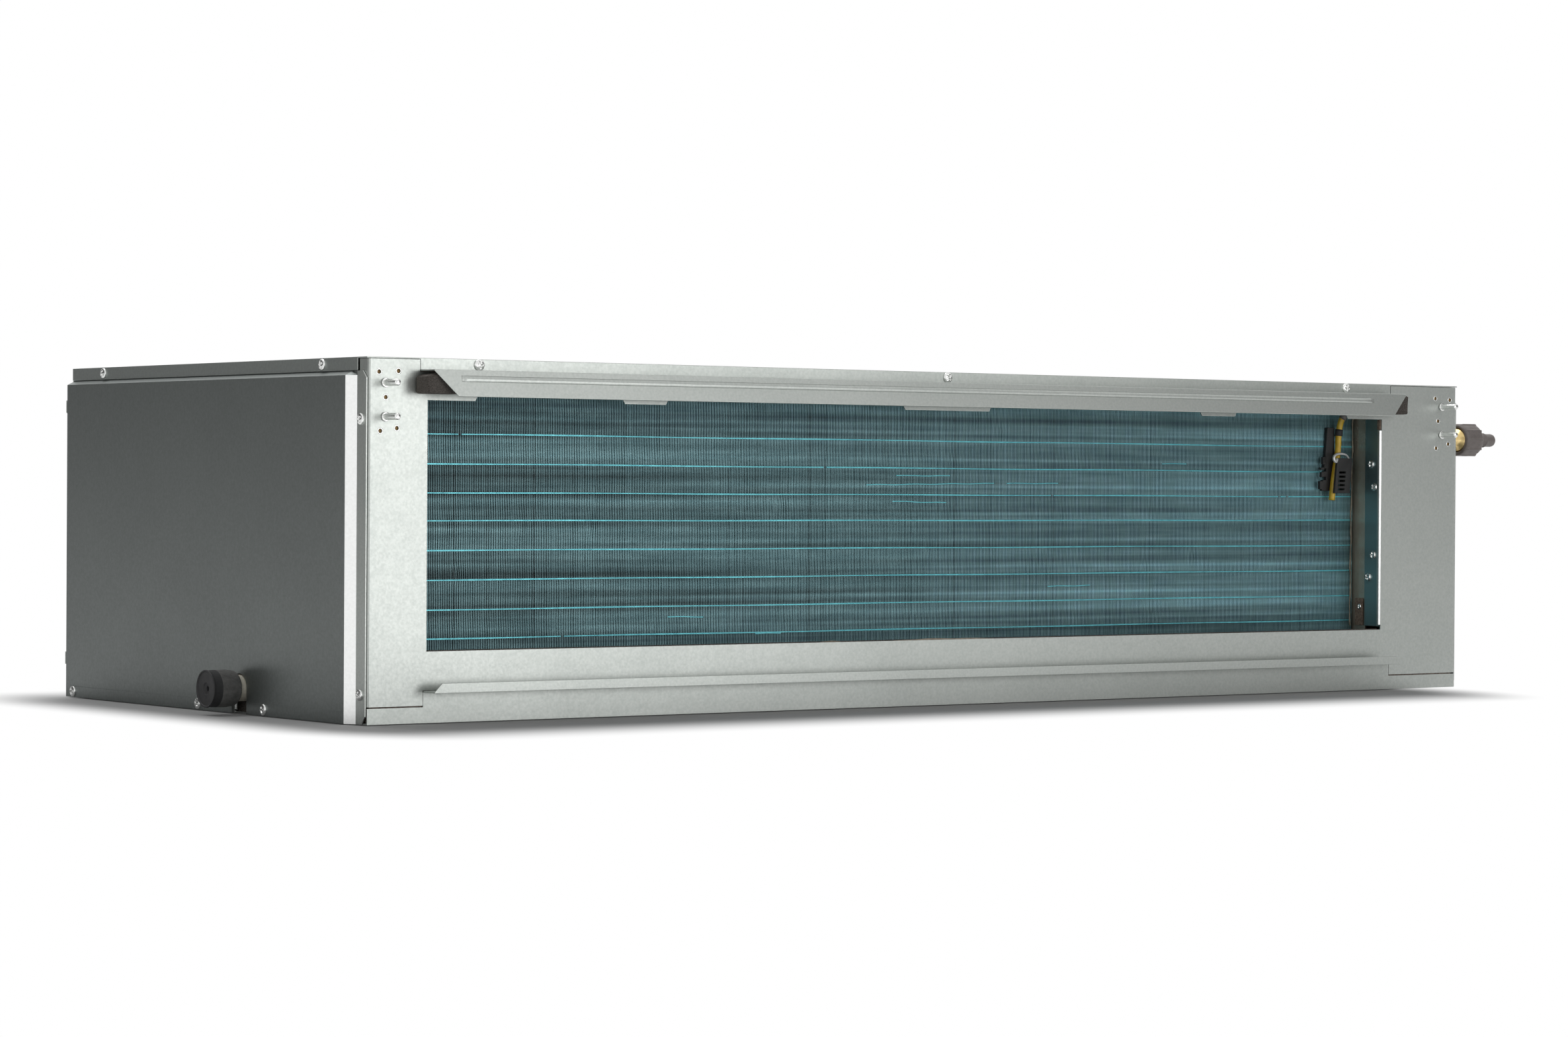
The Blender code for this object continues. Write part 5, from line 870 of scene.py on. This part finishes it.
    def tone(self, material: bpy.types.Material) -> None:
        """Multiply the fins' colour by 0.45 + 0.80 * (tone_and_painted_light + painted_streaks +
        painted_highlight_bands), which is all painted light except the random tone; the streaks are a long
        noise of painted light and shade.

        Args:
            material: the fins' material.
        """
        wiring = Wiring(material)
        place = wiring.new("TexCoord").outputs["Object"]
        # painted reflections: a noise stretched up the fins gives horizontal streaks of light and shade
        lie = wiring.new("Mapping", {"Vector": place, "Scale": (1.1, 0.0, 115.0)}).outputs["Vector"]
        painted_streaks = wiring.new("TexNoise", {"Vector": lie, "Scale": 1.0, "Detail": 3.0}).outputs["Fac"]
        painted_streak_level = wiring.math("MULTIPLY_ADD", painted_streaks, 3.2, -1.62)
        tone_and_painted_light = wiring.new("Attribute", attribute_name="tone_and_painted_light").outputs["Fac"]
        total = wiring.math("ADD", tone_and_painted_light, self.painted_highlight_bands(wiring, place, painted_streak_level))
        level = wiring.new("MapRange", {"Value": total, "To Min": 0.45, "To Max": 1.25}, clamp=False)
        shader = wiring.nodes["Principled BSDF"]
        colour = shader.inputs["Base Color"].links[0].from_socket
        toned = wiring.new("Mix", {"Factor": 1.0, "A": colour, "B": level.outputs["Result"]},
                           data_type="RGBA", blend_type="MULTIPLY")
        wiring.feed(shader, {"Base Color": toned.outputs["Result"]})

    def painted_highlight_bands(self, wiring: Wiring, place: bpy.types.NodeSocket,
              painted_streak_level: bpy.types.NodeSocket) -> bpy.types.NodeSocket:
        """Add a painted highlight band above each tube: max(0, cos(2 pi (z - z0) / pitch))^12 * rise(x).

        Args:
            wiring: the material's nodes.
            place: the place on the fins.
            painted_streak_level: the painted light level without the highlight bands.

        Returns:
            The level with them.
        """
        parts = wiring.new("SeparateXYZ", {"Vector": place}).outputs
        turns = 2.0 * math.pi / self.row_pitch
        phase = wiring.math("MULTIPLY_ADD", parts["Z"], turns, -turns * self.band_height)
        wave = wiring.math("COSINE", phase)
        highlight_crest = wiring.math("POWER", wiring.math("MAXIMUM", wave, 0.0), 12.0)
        rise = wiring.new("MapRange", {"Value": parts["X"], "From Min": self.start, "From Max": self.end,
                                       "To Min": 0.12, "To Max": 0.75}).outputs["Result"]
        return wiring.math("MULTIPLY_ADD", highlight_crest, rise, painted_streak_level)

    def paint_core_shade(self) -> None:
        """Fill the depth behind the fins' edges with a dark box, painted shade that stands for the dark deep
        between the fins.
        """
        mesh = boxes("coil_painted_shade_core", np.array((self.start + 0.001, self.face + 0.0035, self.low + 0.0005)),
                     np.array((self.end - 0.001, self.back - 0.001, self.high - 0.0005)))
        add("coil_painted_shade_core", mesh, CORE_PAINTED_SHADE)

    def collars(self) -> None:
        """Lay the bright row of fin collars along each tube.

        A collar line is a strip at height z0 + 0.16 mm * sin(23 x + 900 z0), broken here and there; a few
        shorter pieces lie between the tubes, each rising evenly with a ripple of 0.22 mm.
        """
        rng = np.random.default_rng(21)
        lows, highs = [], []
        for z0 in self.tube_rows:
            x = np.arange(self.start + 0.003, self.end - 0.004, 0.003)
            wave = z0 + 0.00016 * np.sin(x * 23.0 + z0 * 900.0)
            thick = 0.00042 + 0.00008 * np.sin(x * 31.0 + z0 * 700.0)
            keep = rng.random(len(x)) > 0.002
            lows.append(np.stack((x, 0 * x + self.face - 0.00012, wave - thick), -1)[keep])
            highs.append(np.stack((x + 0.0031, 0 * x + self.face + 0.0012, wave + thick), -1)[keep])
        for x0, x1, z0, lift in self.stray_lines:
            x = np.arange(x0, x1, 0.003)
            wave = z0 + lift * (x - x0) / (x1 - x0) + 0.00022 * np.sin((x - x0) * 170.0)
            lows.append(np.stack((x, 0 * x + self.face - 0.00008, wave - 0.00030), -1))
            highs.append(np.stack((x + 0.0031, 0 * x + self.face + 0.001, wave + 0.00030), -1))
        add("coil_collars", boxes("coil_collars", np.concatenate(lows), np.concatenate(highs)), FIN_COLLAR)


@dataclass
class DrainEnd:
    """The gravity spout with its rubber plug, the drain pump and the float."""

    depth: float = -0.056
    height: float = 0.019
    plug_face: float = -0.5798

    def build(self) -> None:
        """Make the drain's pieces."""
        plug = rounded([(0.005, 0.0), (0.005, 0.0016), (0.0022, 0.0019), (0.0016, 0.0042), (0.0009, 0.0046),
                        (0.0009, 0.0124), (0.0, 0.0129), (0.0, 0.0138), (0.0004, 0.0140), (0.0012, 0.0140),
                        (0.0018, 0.0135), (0.0080, 0.0138), (0.0160, 0.0139), (0.0226, 0.0130),
                        (0.0245, 0.0114), (0.0245, 0.0101), (0.0065, 0.0101), (0.0065, 0.0)], 0.0003)
        foot = (self.plug_face, self.depth, self.height)
        cap = turned("drain_plug_rubber", plug, foot, Axis.RIGHT, sides=56)
        cap = add("drain_plug_rubber", cap, RUBBER, body="plug", replaces=("drain_plug",))
        cap.data.materials.append(RUBBER_DARK.material())
        for face in cap.data.polygons:
            face.material_index = int(face.center.x < self.plug_face + 0.0055)
        lining = boxes("notch_lining", (-0.5436, -0.072, 0.0008), (-0.5420, -0.040, 0.0088))
        add("notch_lining", lining, SEAL_FOAM)
        low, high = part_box("drain_spout")
        length = high.x - low.x
        spout = [(0.0, 0.0078), (length, 0.0078), (length, 0.0098), (0.019, 0.0098), (0.0186, 0.0094),
                 (0.001, 0.0094), (0.0, 0.0088), (0.0, 0.0078)]
        add("drain_spout_moulding", turned("drain_spout_moulding", spout, (low.x, self.depth, self.height),
                                           Axis.RIGHT, sides=48), CREAM_PLASTIC, replaces=("drain_spout",))
        dress("drain_pump", WHITE_PLASTIC, 0.0005)
        dress("float_switch", WHITE_PLASTIC, 0.0003)
        dress("float_ring", BLACK_PLASTIC, 0.0005, body="float")


@dataclass
class Connections:
    """The refrigerant pipes, valve and distributor, and the sealing nuts on their unions."""

    outside: float = 0.626
    nut_length: float = 0.024
    stub_length: float = 0.023
    ribs: int = 10

    def build(self) -> None:
        """Make the pipes and their ends."""
        for label, y, z, pipe, radius in (("liquid", -0.150, 0.215, 0.00475, 0.014),
                                          ("gas", -0.090, 0.168, 0.00795, 0.0185)):
            self.nut(label, (self.outside, y, z), pipe + 0.001, radius)
            self.union(label, (self.outside, y, z), pipe, radius - 0.0032)
        for node, finish in (("gas_header", COPPER), ("expansion_valve", BRASS), ("distributor", BRASS)):
            dress(node, finish, 0.0002)
        dress("valve_coil", BLACK_PLASTIC, 0.0004)
        header_x, header_y, header = 0.4916, -0.1839, 0.0095
        wall = header_x + header
        gas = smooth_path([(wall + 0.0003, header_y, 0.168), (wall + 0.004, header_y, 0.168),
                           (wall + 0.022, header_y + 0.018, 0.168), (wall + 0.025, -0.120, 0.168),
                           (0.542, -0.090, 0.168), (0.586, -0.090, 0.168), (0.6327, -0.090, 0.168)], 0.004)
        add("gas_pipe_copper", swept("gas_pipe_copper", gas, 0.00795, 28), COPPER, replaces=("gas_pipe",))
        liquid = smooth_path([(0.5136, -0.0723, 0.184), (0.5136, -0.082, 0.184), (0.5136, -0.1065, 0.2055),
                              (0.5156, -0.136, 0.215), (0.534, -0.150, 0.215), (0.586, -0.150, 0.215),
                              (0.6327, -0.150, 0.215)], 0.004)
        add("liquid_pipe_copper", swept("liquid_pipe_copper", liquid, 0.00475, 24), COPPER,
            replaces=("liquid_pipe",))

    def nut(self, label: str, foot: tuple[float, float, float], stub: float, radius: float) -> None:
        """Make a sealing nut.

        The cup's profile carries ribs on its barrel: radius(t) = profile + 1.1 mm * cos(ribs * t / 2)^24.

        Args:
            label: liquid or gas.
            foot: the middle of its open end.
            stub: radius of the closed stub at its far end.
            radius: radius of its barrel.
        """
        soft, end = 0.0012, self.nut_length + self.stub_length
        shoulder = self.nut_length - (radius - stub) * 0.55
        bead = self.nut_length + self.stub_length * 0.42
        cavity = radius - 0.0029
        profile = [(0.0163, 0.0), (0.0163, cavity), (0.0, cavity), (0.0, radius - soft),
                   (0.0006, radius - 0.0004), (soft, radius)]
        profile += [(soft + (shoulder - soft) * step / 6, radius) for step in range(1, 7)]
        profile += [(shoulder + 0.0012, radius - 0.0005), (self.nut_length - 0.0006, stub + 0.0032),
                    (self.nut_length, stub + 0.0022), (self.nut_length + 0.0004, stub), (bead - soft, stub),
                    (bead - soft / 2, stub + soft * 0.45), (bead, stub + soft * 0.6),
                    (bead + soft / 2, stub + soft * 0.45),
                    (bead + soft, stub), (end - stub * 0.7, stub), (end - stub * 0.4, stub * 0.93),
                    (end - stub * 0.15, stub * 0.72), (end - 0.0002, stub * 0.4), (end, 0.0)]
        steps = np.array(profile)
        turn = np.linspace(0.0, 2.0 * math.pi, 120, endpoint=False)
        ridge = np.clip(np.cos(self.ribs * turn / 2), -1.0, 1.0) ** 24
        barrel = (steps[:, 1] > radius - 0.0008) & (steps[:, 0] > 0.004)
        flutes = np.where(barrel, 0.0011, 0.0)[:, None] * ridge[None]
        add(f"{label}_sealing_nut", turned(f"{label}_sealing_nut", profile, foot, Axis.RIGHT, 120, flutes),
            GREY_PLASTIC, body=f"{label}_seal_nut", replaces=(f"{label}_nut",))

    def union(self, label: str, foot: tuple[float, float, float], pipe: float, radius: float) -> None:
        """Turn a brass union with a lip and a thread under the nut.

        The thread's radius is the union's less 0.2 mm * saw(along / 1.4 mm).

        Args:
            label: liquid or gas.
            foot: the place where it leaves the side panel's collar.
            pipe: radius of the pipe in it.
            radius: its own radius.
        """
        threads = [(0.0020 + 0.0007 * step, radius - 0.0002 * (step % 2)) for step in range(14)]
        profile = [(0.0, pipe + 0.0003), (0.007, pipe + 0.0003), (0.007, pipe * 0.7), (0.0160, pipe * 0.7),
                   (0.0160, pipe + 0.001), *threads[::-1], (0.0015, radius), (0.0012, radius - 0.001),
                   (0.0, radius - 0.0012), (0.0, pipe + 0.0016), (-0.0105, pipe + 0.0016),
                   (-0.0115, pipe + 0.0003), (0.0, pipe + 0.0003)]
        add(f"{label}_union_brass", turned(f"{label}_union_brass", profile, foot, Axis.RIGHT, 48), BRASS,
            replaces=(f"{label}_union",))


@dataclass
class Blowers:
    """The two blowers: scroll housings, wheels on one shaft, and the motor in its cradle."""

    centre: float = -0.0442
    offset: float = 0.212
    axis_y: float = 0.102
    axis_z: float = 0.128
    outer: float = 0.078
    inner: float = 0.064
    width: float = 0.236
    blades: int = 42

    def build(self) -> None:
        """Make both blowers and the motor."""
        for side, sign in (("left", -1), ("right", 1)):
            for half in ("upper", "lower"):
                dress(f"scroll_{half}_{side}", BLACK_PLASTIC, 0.0005)
            self.wheel(side, self.centre + sign * self.offset)
            dress(f"motor_ring_{side}", RUBBER, 0.0005)
            dress(f"motor_strap_{side}", ZINC_BRIGHT, 0.0003)
        dress("fan_shaft", ZINC_BRIGHT, 0.0002, body="fan_rotor")
        dress("motor_cradle", GALVANISED, 0.0005)
        self.motor()

    def wheel(self, side: str, centre: float) -> None:
        """Make a wheel of forward-curved blades.

        A blade's mean line is radius r = inner + (outer - inner) t at angle a + 0.17 t^2; its two faces lie
        half a thickness to each side and run the length of the wheel.
        """
        t = np.concatenate((np.linspace(0, 1, 6), np.linspace(1, 0, 6)))
        side_sign = np.repeat((-1.0, 1.0), 6)
        radius = self.inner + (self.outer - self.inner) * t
        base = 2.0 * math.pi * np.arange(self.blades) / self.blades
        angle = base[:, None] + 0.17 * t ** 2 + side_sign * 0.00055 / radius
        ring = np.stack((radius * np.cos(angle), radius * np.sin(angle)), axis=-1)
        reach = self.width / 2 - 0.002
        meshes = []
        for number in range(self.blades):
            blade = ring[number] + (self.axis_y, self.axis_z)
            ends = np.stack([np.column_stack((np.full(12, centre + x), blade)) for x in (-reach, reach)])
            meshes.append(surface("blade", ends, around=True, smooth=False))
        origin = (centre, self.axis_y, self.axis_z)
        half, bore = self.width / 2, 0.0053
        for sign in (-1, 1):
            meshes.append(turned("ring", rounded([
                (sign * (half - 0.006), self.inner + 0.004), (sign * half, self.inner + 0.004),
                (sign * half, self.outer + 0.0015), (sign * (half - 0.006), self.outer + 0.0015),
                (sign * (half - 0.006), self.inner + 0.004)]), origin, Axis.RIGHT, 72))
        rim = self.outer - 0.002
        meshes.append(turned("disc", [
            (-0.022, bore), (0.022, bore), (0.022, 0.013), (0.006, 0.0138), (0.0016, 0.018), (0.0016, rim),
            (-0.0016, rim), (-0.0016, 0.018), (-0.006, 0.0138), (-0.022, 0.013), (-0.022, bore)],
            origin, Axis.RIGHT, 72))
        add(f"blower_wheel_{side}", joined(f"blower_wheel_{side}", meshes, outward=True), WHEEL_PLASTIC,
            body="fan_rotor", replaces=(f"fan_wheel_{side}",))

    def motor(self) -> None:
        """Turn the motor's shell, with shallow cooling grooves round its middle band."""
        half, boss, radius = 0.044, 0.057, 0.052
        outer = [(boss, 0.016), (half + 0.001, 0.016), (half, 0.0286), (half - 0.010, radius - 0.004),
                 (half * 0.5 + 0.001, radius - 0.004), (half * 0.5, radius)]
        grooves = [(0.020 - 0.0025 * step, radius - (0.0012 if step % 2 else 0.0)) for step in range(17)]
        profile = [(-boss, 0.0053), (boss, 0.0053)] + outer + grooves
        profile += [(-x, r) for x, r in reversed(outer)] + [(-boss, 0.0053)]
        middle = (self.centre, self.axis_y, self.axis_z)
        shell = turned("motor_shell", rounded(profile, 0.0008), middle, Axis.RIGHT, 64)
        add("motor_shell", shell, MOTOR_PAINT, replaces=("motor_body",))


@dataclass
class Filters:
    """The two slide-out filters: moulded lattices that carry fine nets."""

    net_pitch: float = 0.0032
    thread: float = 0.0005
    inset: float = 0.010
    net_depth: float = 0.0004

    def build(self) -> None:
        """Make both filters, each riding on its own body."""
        for side in ("left", "right"):
            body = f"{side}_filter"
            dress(f"filter_{side}", BLACK_PLASTIC, 0.0004, body=body)
            low, high = (np.array(corner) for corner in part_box(f"filter_{side}"))
            (x0, y0, z0), (x1, _, z1) = low, high
            net_y = y0 + self.net_depth
            x = np.arange(x0 + self.inset, x1 - self.inset, self.net_pitch)
            z = np.arange(z0 + self.inset, z1 - self.inset, self.net_pitch)
            half = self.thread / 2
            lows = np.concatenate((
                np.stack((x - half, 0 * x + net_y, 0 * x + z0 + self.inset), -1),
                np.stack((0 * z + x0 + self.inset, 0 * z + net_y + self.thread * 0.6, z - half), -1)))
            highs = np.concatenate((
                np.stack((x + half, 0 * x + net_y + self.thread, 0 * x + z1 - self.inset), -1),
                np.stack((0 * z + x1 - self.inset, 0 * z + net_y + self.thread * 1.6, z + half), -1)))
            add(f"filter_net_{side}", boxes("filter_net", lows, highs), BLACK_PLASTIC, body=body)


@dataclass
class Controls:
    """The control box, its circuit board and terminal block, and the coil sensor with its lead."""

    board_parts: tuple[tuple[float, float, float, float, float], ...] = (
        (0.06, 0.55, 0.20, 0.30, 0.024), (0.34, 0.62, 0.14, 0.26, 0.018), (0.56, 0.60, 0.10, 0.16, 0.014),
        (0.74, 0.58, 0.16, 0.30, 0.020), (0.10, 0.12, 0.26, 0.16, 0.012), (0.48, 0.14, 0.34, 0.14, 0.010))

    clip_teeth: tuple[tuple[float, ...], ...] = (
        (0.4150, -0.1985, 0.1915, 0.4180, -0.1955, 0.1978),
        (0.4127, -0.1985, 0.1868, 0.4165, -0.1955, 0.1888),
        (0.4133, -0.1985, 0.1808, 0.4160, -0.1955, 0.1850),
        (0.4116, -0.1985, 0.1703, 0.4150, -0.1955, 0.1772))

    def build(self) -> None:
        """Make the controls."""
        dress("control_box", GALVANISED, 0.0003)
        dress("control_box_lid", GALVANISED, 0.0004, body="box_lid")
        dress("terminal_block", BLACK_PLASTIC, 0.0003)
        dress("cable_gland", BLACK_PLASTIC, 0.0004)
        low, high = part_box("control_box_lid")
        places = [((high.x, y, z), Axis.RIGHT) for y in (low.y + 0.012, high.y - 0.012)
                  for z in (low.z + 0.012, high.z - 0.012)]
        pan_screws("lid_screws", places, ZINC_BRIGHT, body="box_lid")
        self.board()
        self.sensor()

    def board(self) -> None:
        """Lay out the circuit board: its plate, dark and pale parts, and three round capacitors."""
        low, high = (np.array(corner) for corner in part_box("control_board"))
        face = low[0] + 0.0016
        plate = boxes("board_plate", low, np.array((face, high[1], high[2])))
        soften(add("board_plate", plate, BOARD_GREEN, replaces=("control_board",)), 0.0002)
        wide, tall = high[1] - low[1], high[2] - low[2]
        spots = np.array([(low[1] + a * wide, low[2] + b * tall, c * wide, d * tall, e)
                          for a, b, c, d, e in self.board_parts])
        lows = np.stack((0 * spots[:, 0] + face, spots[:, 0], spots[:, 1]), -1)
        far = spots[:, :2] + spots[:, 2:4]
        highs = np.stack((face + spots[:, 4] - 0.0008, far[:, 0], far[:, 1]), -1)
        soften(add("board_relays", boxes("board_relays", lows[::2], highs[::2]), BLACK_PLASTIC), 0.0006)
        soften(add("board_sockets", boxes("board_sockets", lows[1::2], highs[1::2]), WHITE_PLASTIC), 0.0006)
        cans = [turned("can", rounded([(0.0, 0.0), (0.0, 0.008), (0.0255, 0.008), (0.0255, 0.0)], 0.001),
                       (face, low[1] + wide * (0.42 + 0.14 * n), low[2] + tall * 0.44), Axis.RIGHT, 28)
                for n in range(3)]
        add("board_capacitors", joined("board_capacitors", cans), MOTOR_PAINT)

    def sensor(self) -> None:
        """Clip the sensor on the coil, with its yellow lead, sleeve, band and cable tie."""
        dress("sensor_clip_base", BLACK_PLASTIC, 0.0004)
        cover = dress("sensor_clip_cover", BLACK_PLASTIC, 0.0004)
        low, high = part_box("sensor_clip_cover")
        for vertex in cover.data.vertices:
            drop = (high.z - vertex.co.z) / (high.z - low.z)
            vertex.co.x = low.x + 0.87 * (vertex.co.x - low.x) - 0.0032 * drop
        teeth = np.array(self.clip_teeth)
        low, high = teeth[:, :3], teeth[:, 3:]
        soften(add("sensor_clip_teeth", boxes("sensor_clip_teeth", low, high), BLACK_PLASTIC), 0.0002)
        route = smooth_path([(0.4246, -0.1992, 0.161), (0.4268, -0.1992, 0.179), (0.4311, -0.1992, 0.201),
                             (0.4332, -0.1992, 0.223), (0.4360, -0.2032, 0.234), (0.449, -0.2108, 0.2475),
                             (0.469, -0.2108, 0.248), (0.5276, -0.178, 0.250), (0.5276, -0.108, 0.250),
                             (0.5276, -0.018, 0.246), (0.5316, 0.014, 0.214), (0.536, 0.022, 0.214),
                             (0.5593, 0.022, 0.214)], 0.002)
        lead = add("sensor_lead_sheath", swept("sensor_lead_sheath", route, 0.0026, 16), YELLOW_SHEATH,
                   replaces=("sensor_lead",))
        high = route[(route[:, 2] > 0.2300) & (route[:, 1] < -0.19)]
        sleeve = add("sensor_sleeve", swept("sensor_sleeve", high, 0.0032, 16), GREY_PLASTIC)
        band = route[(route[:, 2] > 0.2155) & (route[:, 2] < 0.2225) & (route[:, 1] < -0.19)]
        band = add("sensor_band", swept("sensor_band", band, 0.0033, 16), BLACK_PLASTIC)
        arch = smooth_path([(0.4236, -0.2062, 0.1962), (0.4218, -0.2070, 0.1938), (0.4194, -0.2072, 0.1952),
                            (0.4196, -0.2070, 0.1984), (0.4232, -0.2068, 0.2002), (0.4290, -0.2066, 0.2006),
                            (0.4350, -0.2060, 0.1994), (0.4402, -0.2040, 0.1962)], 0.0005)
        width = 0.0013 - 0.0006 * np.linspace(0.0, 1.0, len(arch)) ** 1.5
        add("sensor_tie", swept("sensor_tie", arch, width, 10), TIE_GREY)


@dataclass
class Studio:
    """The photograph's viewpoint, a pale floor and plain soft light."""

    place: tuple[float, float, float] = (-2.00767, -2.68414, 0.171132)
    yaw: float = 0.6399
    pitch: float = -0.0083
    roll: float = 0.0061
    lens: float = 92.70
    # painted shadow on the floor: the middle and half sizes of the rectangle it grows from, and how much it
    # is squeezed along X
    painted_shadow_middle: tuple[float, float] = (-0.059, -0.045)
    painted_shadow_half: tuple[float, float] = (0.489, 0.185)
    painted_shadow_squeeze: float = 1.7

    def build(self) -> None:
        """Set the camera, the floor and the lights."""
        self.camera()
        self.floor()
        self.cards()
        self.lamps()
        bpy.context.scene.view_settings.view_transform = "Standard"

    def camera(self) -> None:
        """Aim the camera: the columns of its turn are its right, its up and away from its view."""
        cp, sp, cy, sy = math.cos(self.pitch), math.sin(self.pitch), math.cos(self.yaw), math.sin(self.yaw)
        ahead, level = Vector((sy * cp, cy * cp, sp)), Vector((cy, -sy, 0.0))
        upright = level.cross(ahead)
        right = math.cos(self.roll) * level + math.sin(self.roll) * upright
        up = -math.sin(self.roll) * level + math.cos(self.roll) * upright
        data = bpy.data.cameras.new("camera")
        data.lens, data.sensor_width, data.sensor_fit = self.lens, 36.0, "HORIZONTAL"
        data.clip_start, data.clip_end = 0.05, 60.0
        camera = bpy.data.objects.new("camera", data)
        turn = Matrix((right, up, -ahead)).transposed().to_4x4()
        camera.matrix_world = Matrix.Translation(self.place) @ turn
        bpy.context.scene.collection.objects.link(camera)
        bpy.context.scene.camera = camera

    def floor(self) -> None:
        """Lay a floor with a painted shadow: grey within 50 mm of a rectangle under the unit, and white from
        190 mm outwards.
        """
        corners = np.array([(14.0 * x, 14.0 * y, -0.0006) for x, y in ((-1, -1), (1, -1), (1, 1), (-1, 1))])
        mesh = loose_mesh("floor", corners, np.array(((0, 1, 2, 3),)), False)
        material = bpy.data.materials.new("floor_painted_shadow")
        wiring = Wiring(material)
        shader = wiring.feed(wiring.nodes["Principled BSDF"], {"Base Color": (0.42, 0.42, 0.42, 1.0),
                                                               "Roughness": 0.9})
        squeeze = self.painted_shadow_squeeze
        value = wiring.new("Mapping", {
            "Vector": wiring.new("TexCoord").outputs["Object"], "Scale": (squeeze, 1.0, 0.0),
            "Location": (-self.painted_shadow_middle[0] * squeeze, -self.painted_shadow_middle[1], 0.0)}).outputs["Vector"]
        half = (self.painted_shadow_half[0] * squeeze, self.painted_shadow_half[1], 0.0)
        for operation, second in (("ABSOLUTE", ()), ("SUBTRACT", (half,)), ("MAXIMUM", ((0.0, 0.0, 0.0),))):
            value = wiring.new("VectorMath", dict(enumerate((value, *second))),
                               operation=operation).outputs["Vector"]
        away = wiring.new("VectorMath", {0: value}, operation="LENGTH").outputs["Value"]
        # painted shadow: camera and glossy rays see grey diffuse near the unit, fading to white emission
        # further out
        reach = wiring.new("MapRange", {"Value": away, "From Min": 0.05, "From Max": 0.19, "To Min": 0.02,
                                        "To Max": 1.0}, interpolation_type="SMOOTHSTEP").outputs["Result"]
        glow = wiring.new("Emission").outputs["Emission"]
        mix = wiring.new("MixShader", {"Fac": wiring.math("MULTIPLY", wiring.seen(), reach),
                                       1: shader.outputs["BSDF"], 2: glow})
        wiring.feed(wiring.nodes["Material Output"], {"Surface": mix.outputs["Shader"]})
        mesh.materials.append(material)
        floor = bpy.data.objects.new("floor", mesh)
        bpy.context.scene.collection.objects.link(floor)

    def cards(self) -> None:
        """Place a dark card at the back left, a grey one at the front right and a bright one on the floor."""
        for name, corners, level in (
            ("dark_card", ((-4.6, 0.2, 0.0), (-1.0, 4.6, 0.0), (-1.0, 4.6, 2.6), (-4.6, 0.2, 2.6)), 0.03),
            ("grey_card", ((1.9, -3.6, 0.0), (5.2, -0.7, 0.0), (5.2, -0.7, 2.4), (1.9, -3.6, 2.4)), 0.10),
            ("white_card", ((-0.9, -0.42, -0.0004), (-0.5, -2.2, -0.0004), (0.6, -2.2, -0.0004),
                            (0.0, -0.42, -0.0004)), 1.5),
        ):
            corners = np.array(corners)
            mesh = loose_mesh(name, corners, np.array(((0, 1, 2, 3),)), False)
            material = bpy.data.materials.new(name)
            wiring = Wiring(material)
            wiring.feed(wiring.nodes["Principled BSDF"], {
                "Base Color": (0.02, 0.02, 0.02, 1.0), "Emission Color": (1.0, 1.0, 1.0, 1.0),
                "Emission Strength": level})
            mesh.materials.append(material)
            card = bpy.data.objects.new(name, mesh)
            card.visible_camera = card.visible_shadow = card.visible_diffuse = False
            bpy.context.scene.collection.objects.link(card)

    def lamps(self) -> None:
        """Hang soft panels at the front and above, and make the surroundings white where they are seen."""
        for name, place, target, size, power in (
            ("front_panel_light", (1.05, -3.2, 0.45), (-0.45, -0.2, 0.12), 1.2, 21.5),
            ("top_light", (-0.2, 1.5, 3.0), (0.0, 0.0, 0.0), 2.0, 45.0),
            ("edge_light", (-3.3, -1.9, 0.5), (-0.55, -0.2, 0.12), 0.8, 6.0),
        ):
            data = bpy.data.lights.new(name, "AREA")
            data.energy, data.size = power, size
            lamp = bpy.data.objects.new(name, data)
            lamp.location = place
            lamp.rotation_euler = (Vector(target) - Vector(place)).to_track_quat("-Z", "Y").to_euler()
            bpy.context.scene.collection.objects.link(lamp)
        world = bpy.data.worlds.new("surroundings")
        bpy.context.scene.world = world
        wiring = Wiring(world)
        level = wiring.new("MapRange", {"Value": wiring.seen(), "To Min": 0.22, "To Max": 1.0})
        wiring.feed(wiring.nodes["Background"], {"Strength": level.outputs["Result"],
                                                 "Color": (1.0, 1.0, 1.0, 1.0)})


def main() -> None:
    """Dress the unit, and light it."""
    logging.basicConfig(level=logging.INFO, format="%(name)s: %(message)s")
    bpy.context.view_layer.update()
    for part in (Casing(), Coil(), DrainEnd(), Connections(), Blowers(), Filters(), Controls(), Studio()):
        LOG.info("building %s", type(part).__name__)
        part.build()


if __name__ == "__main__":
    main()
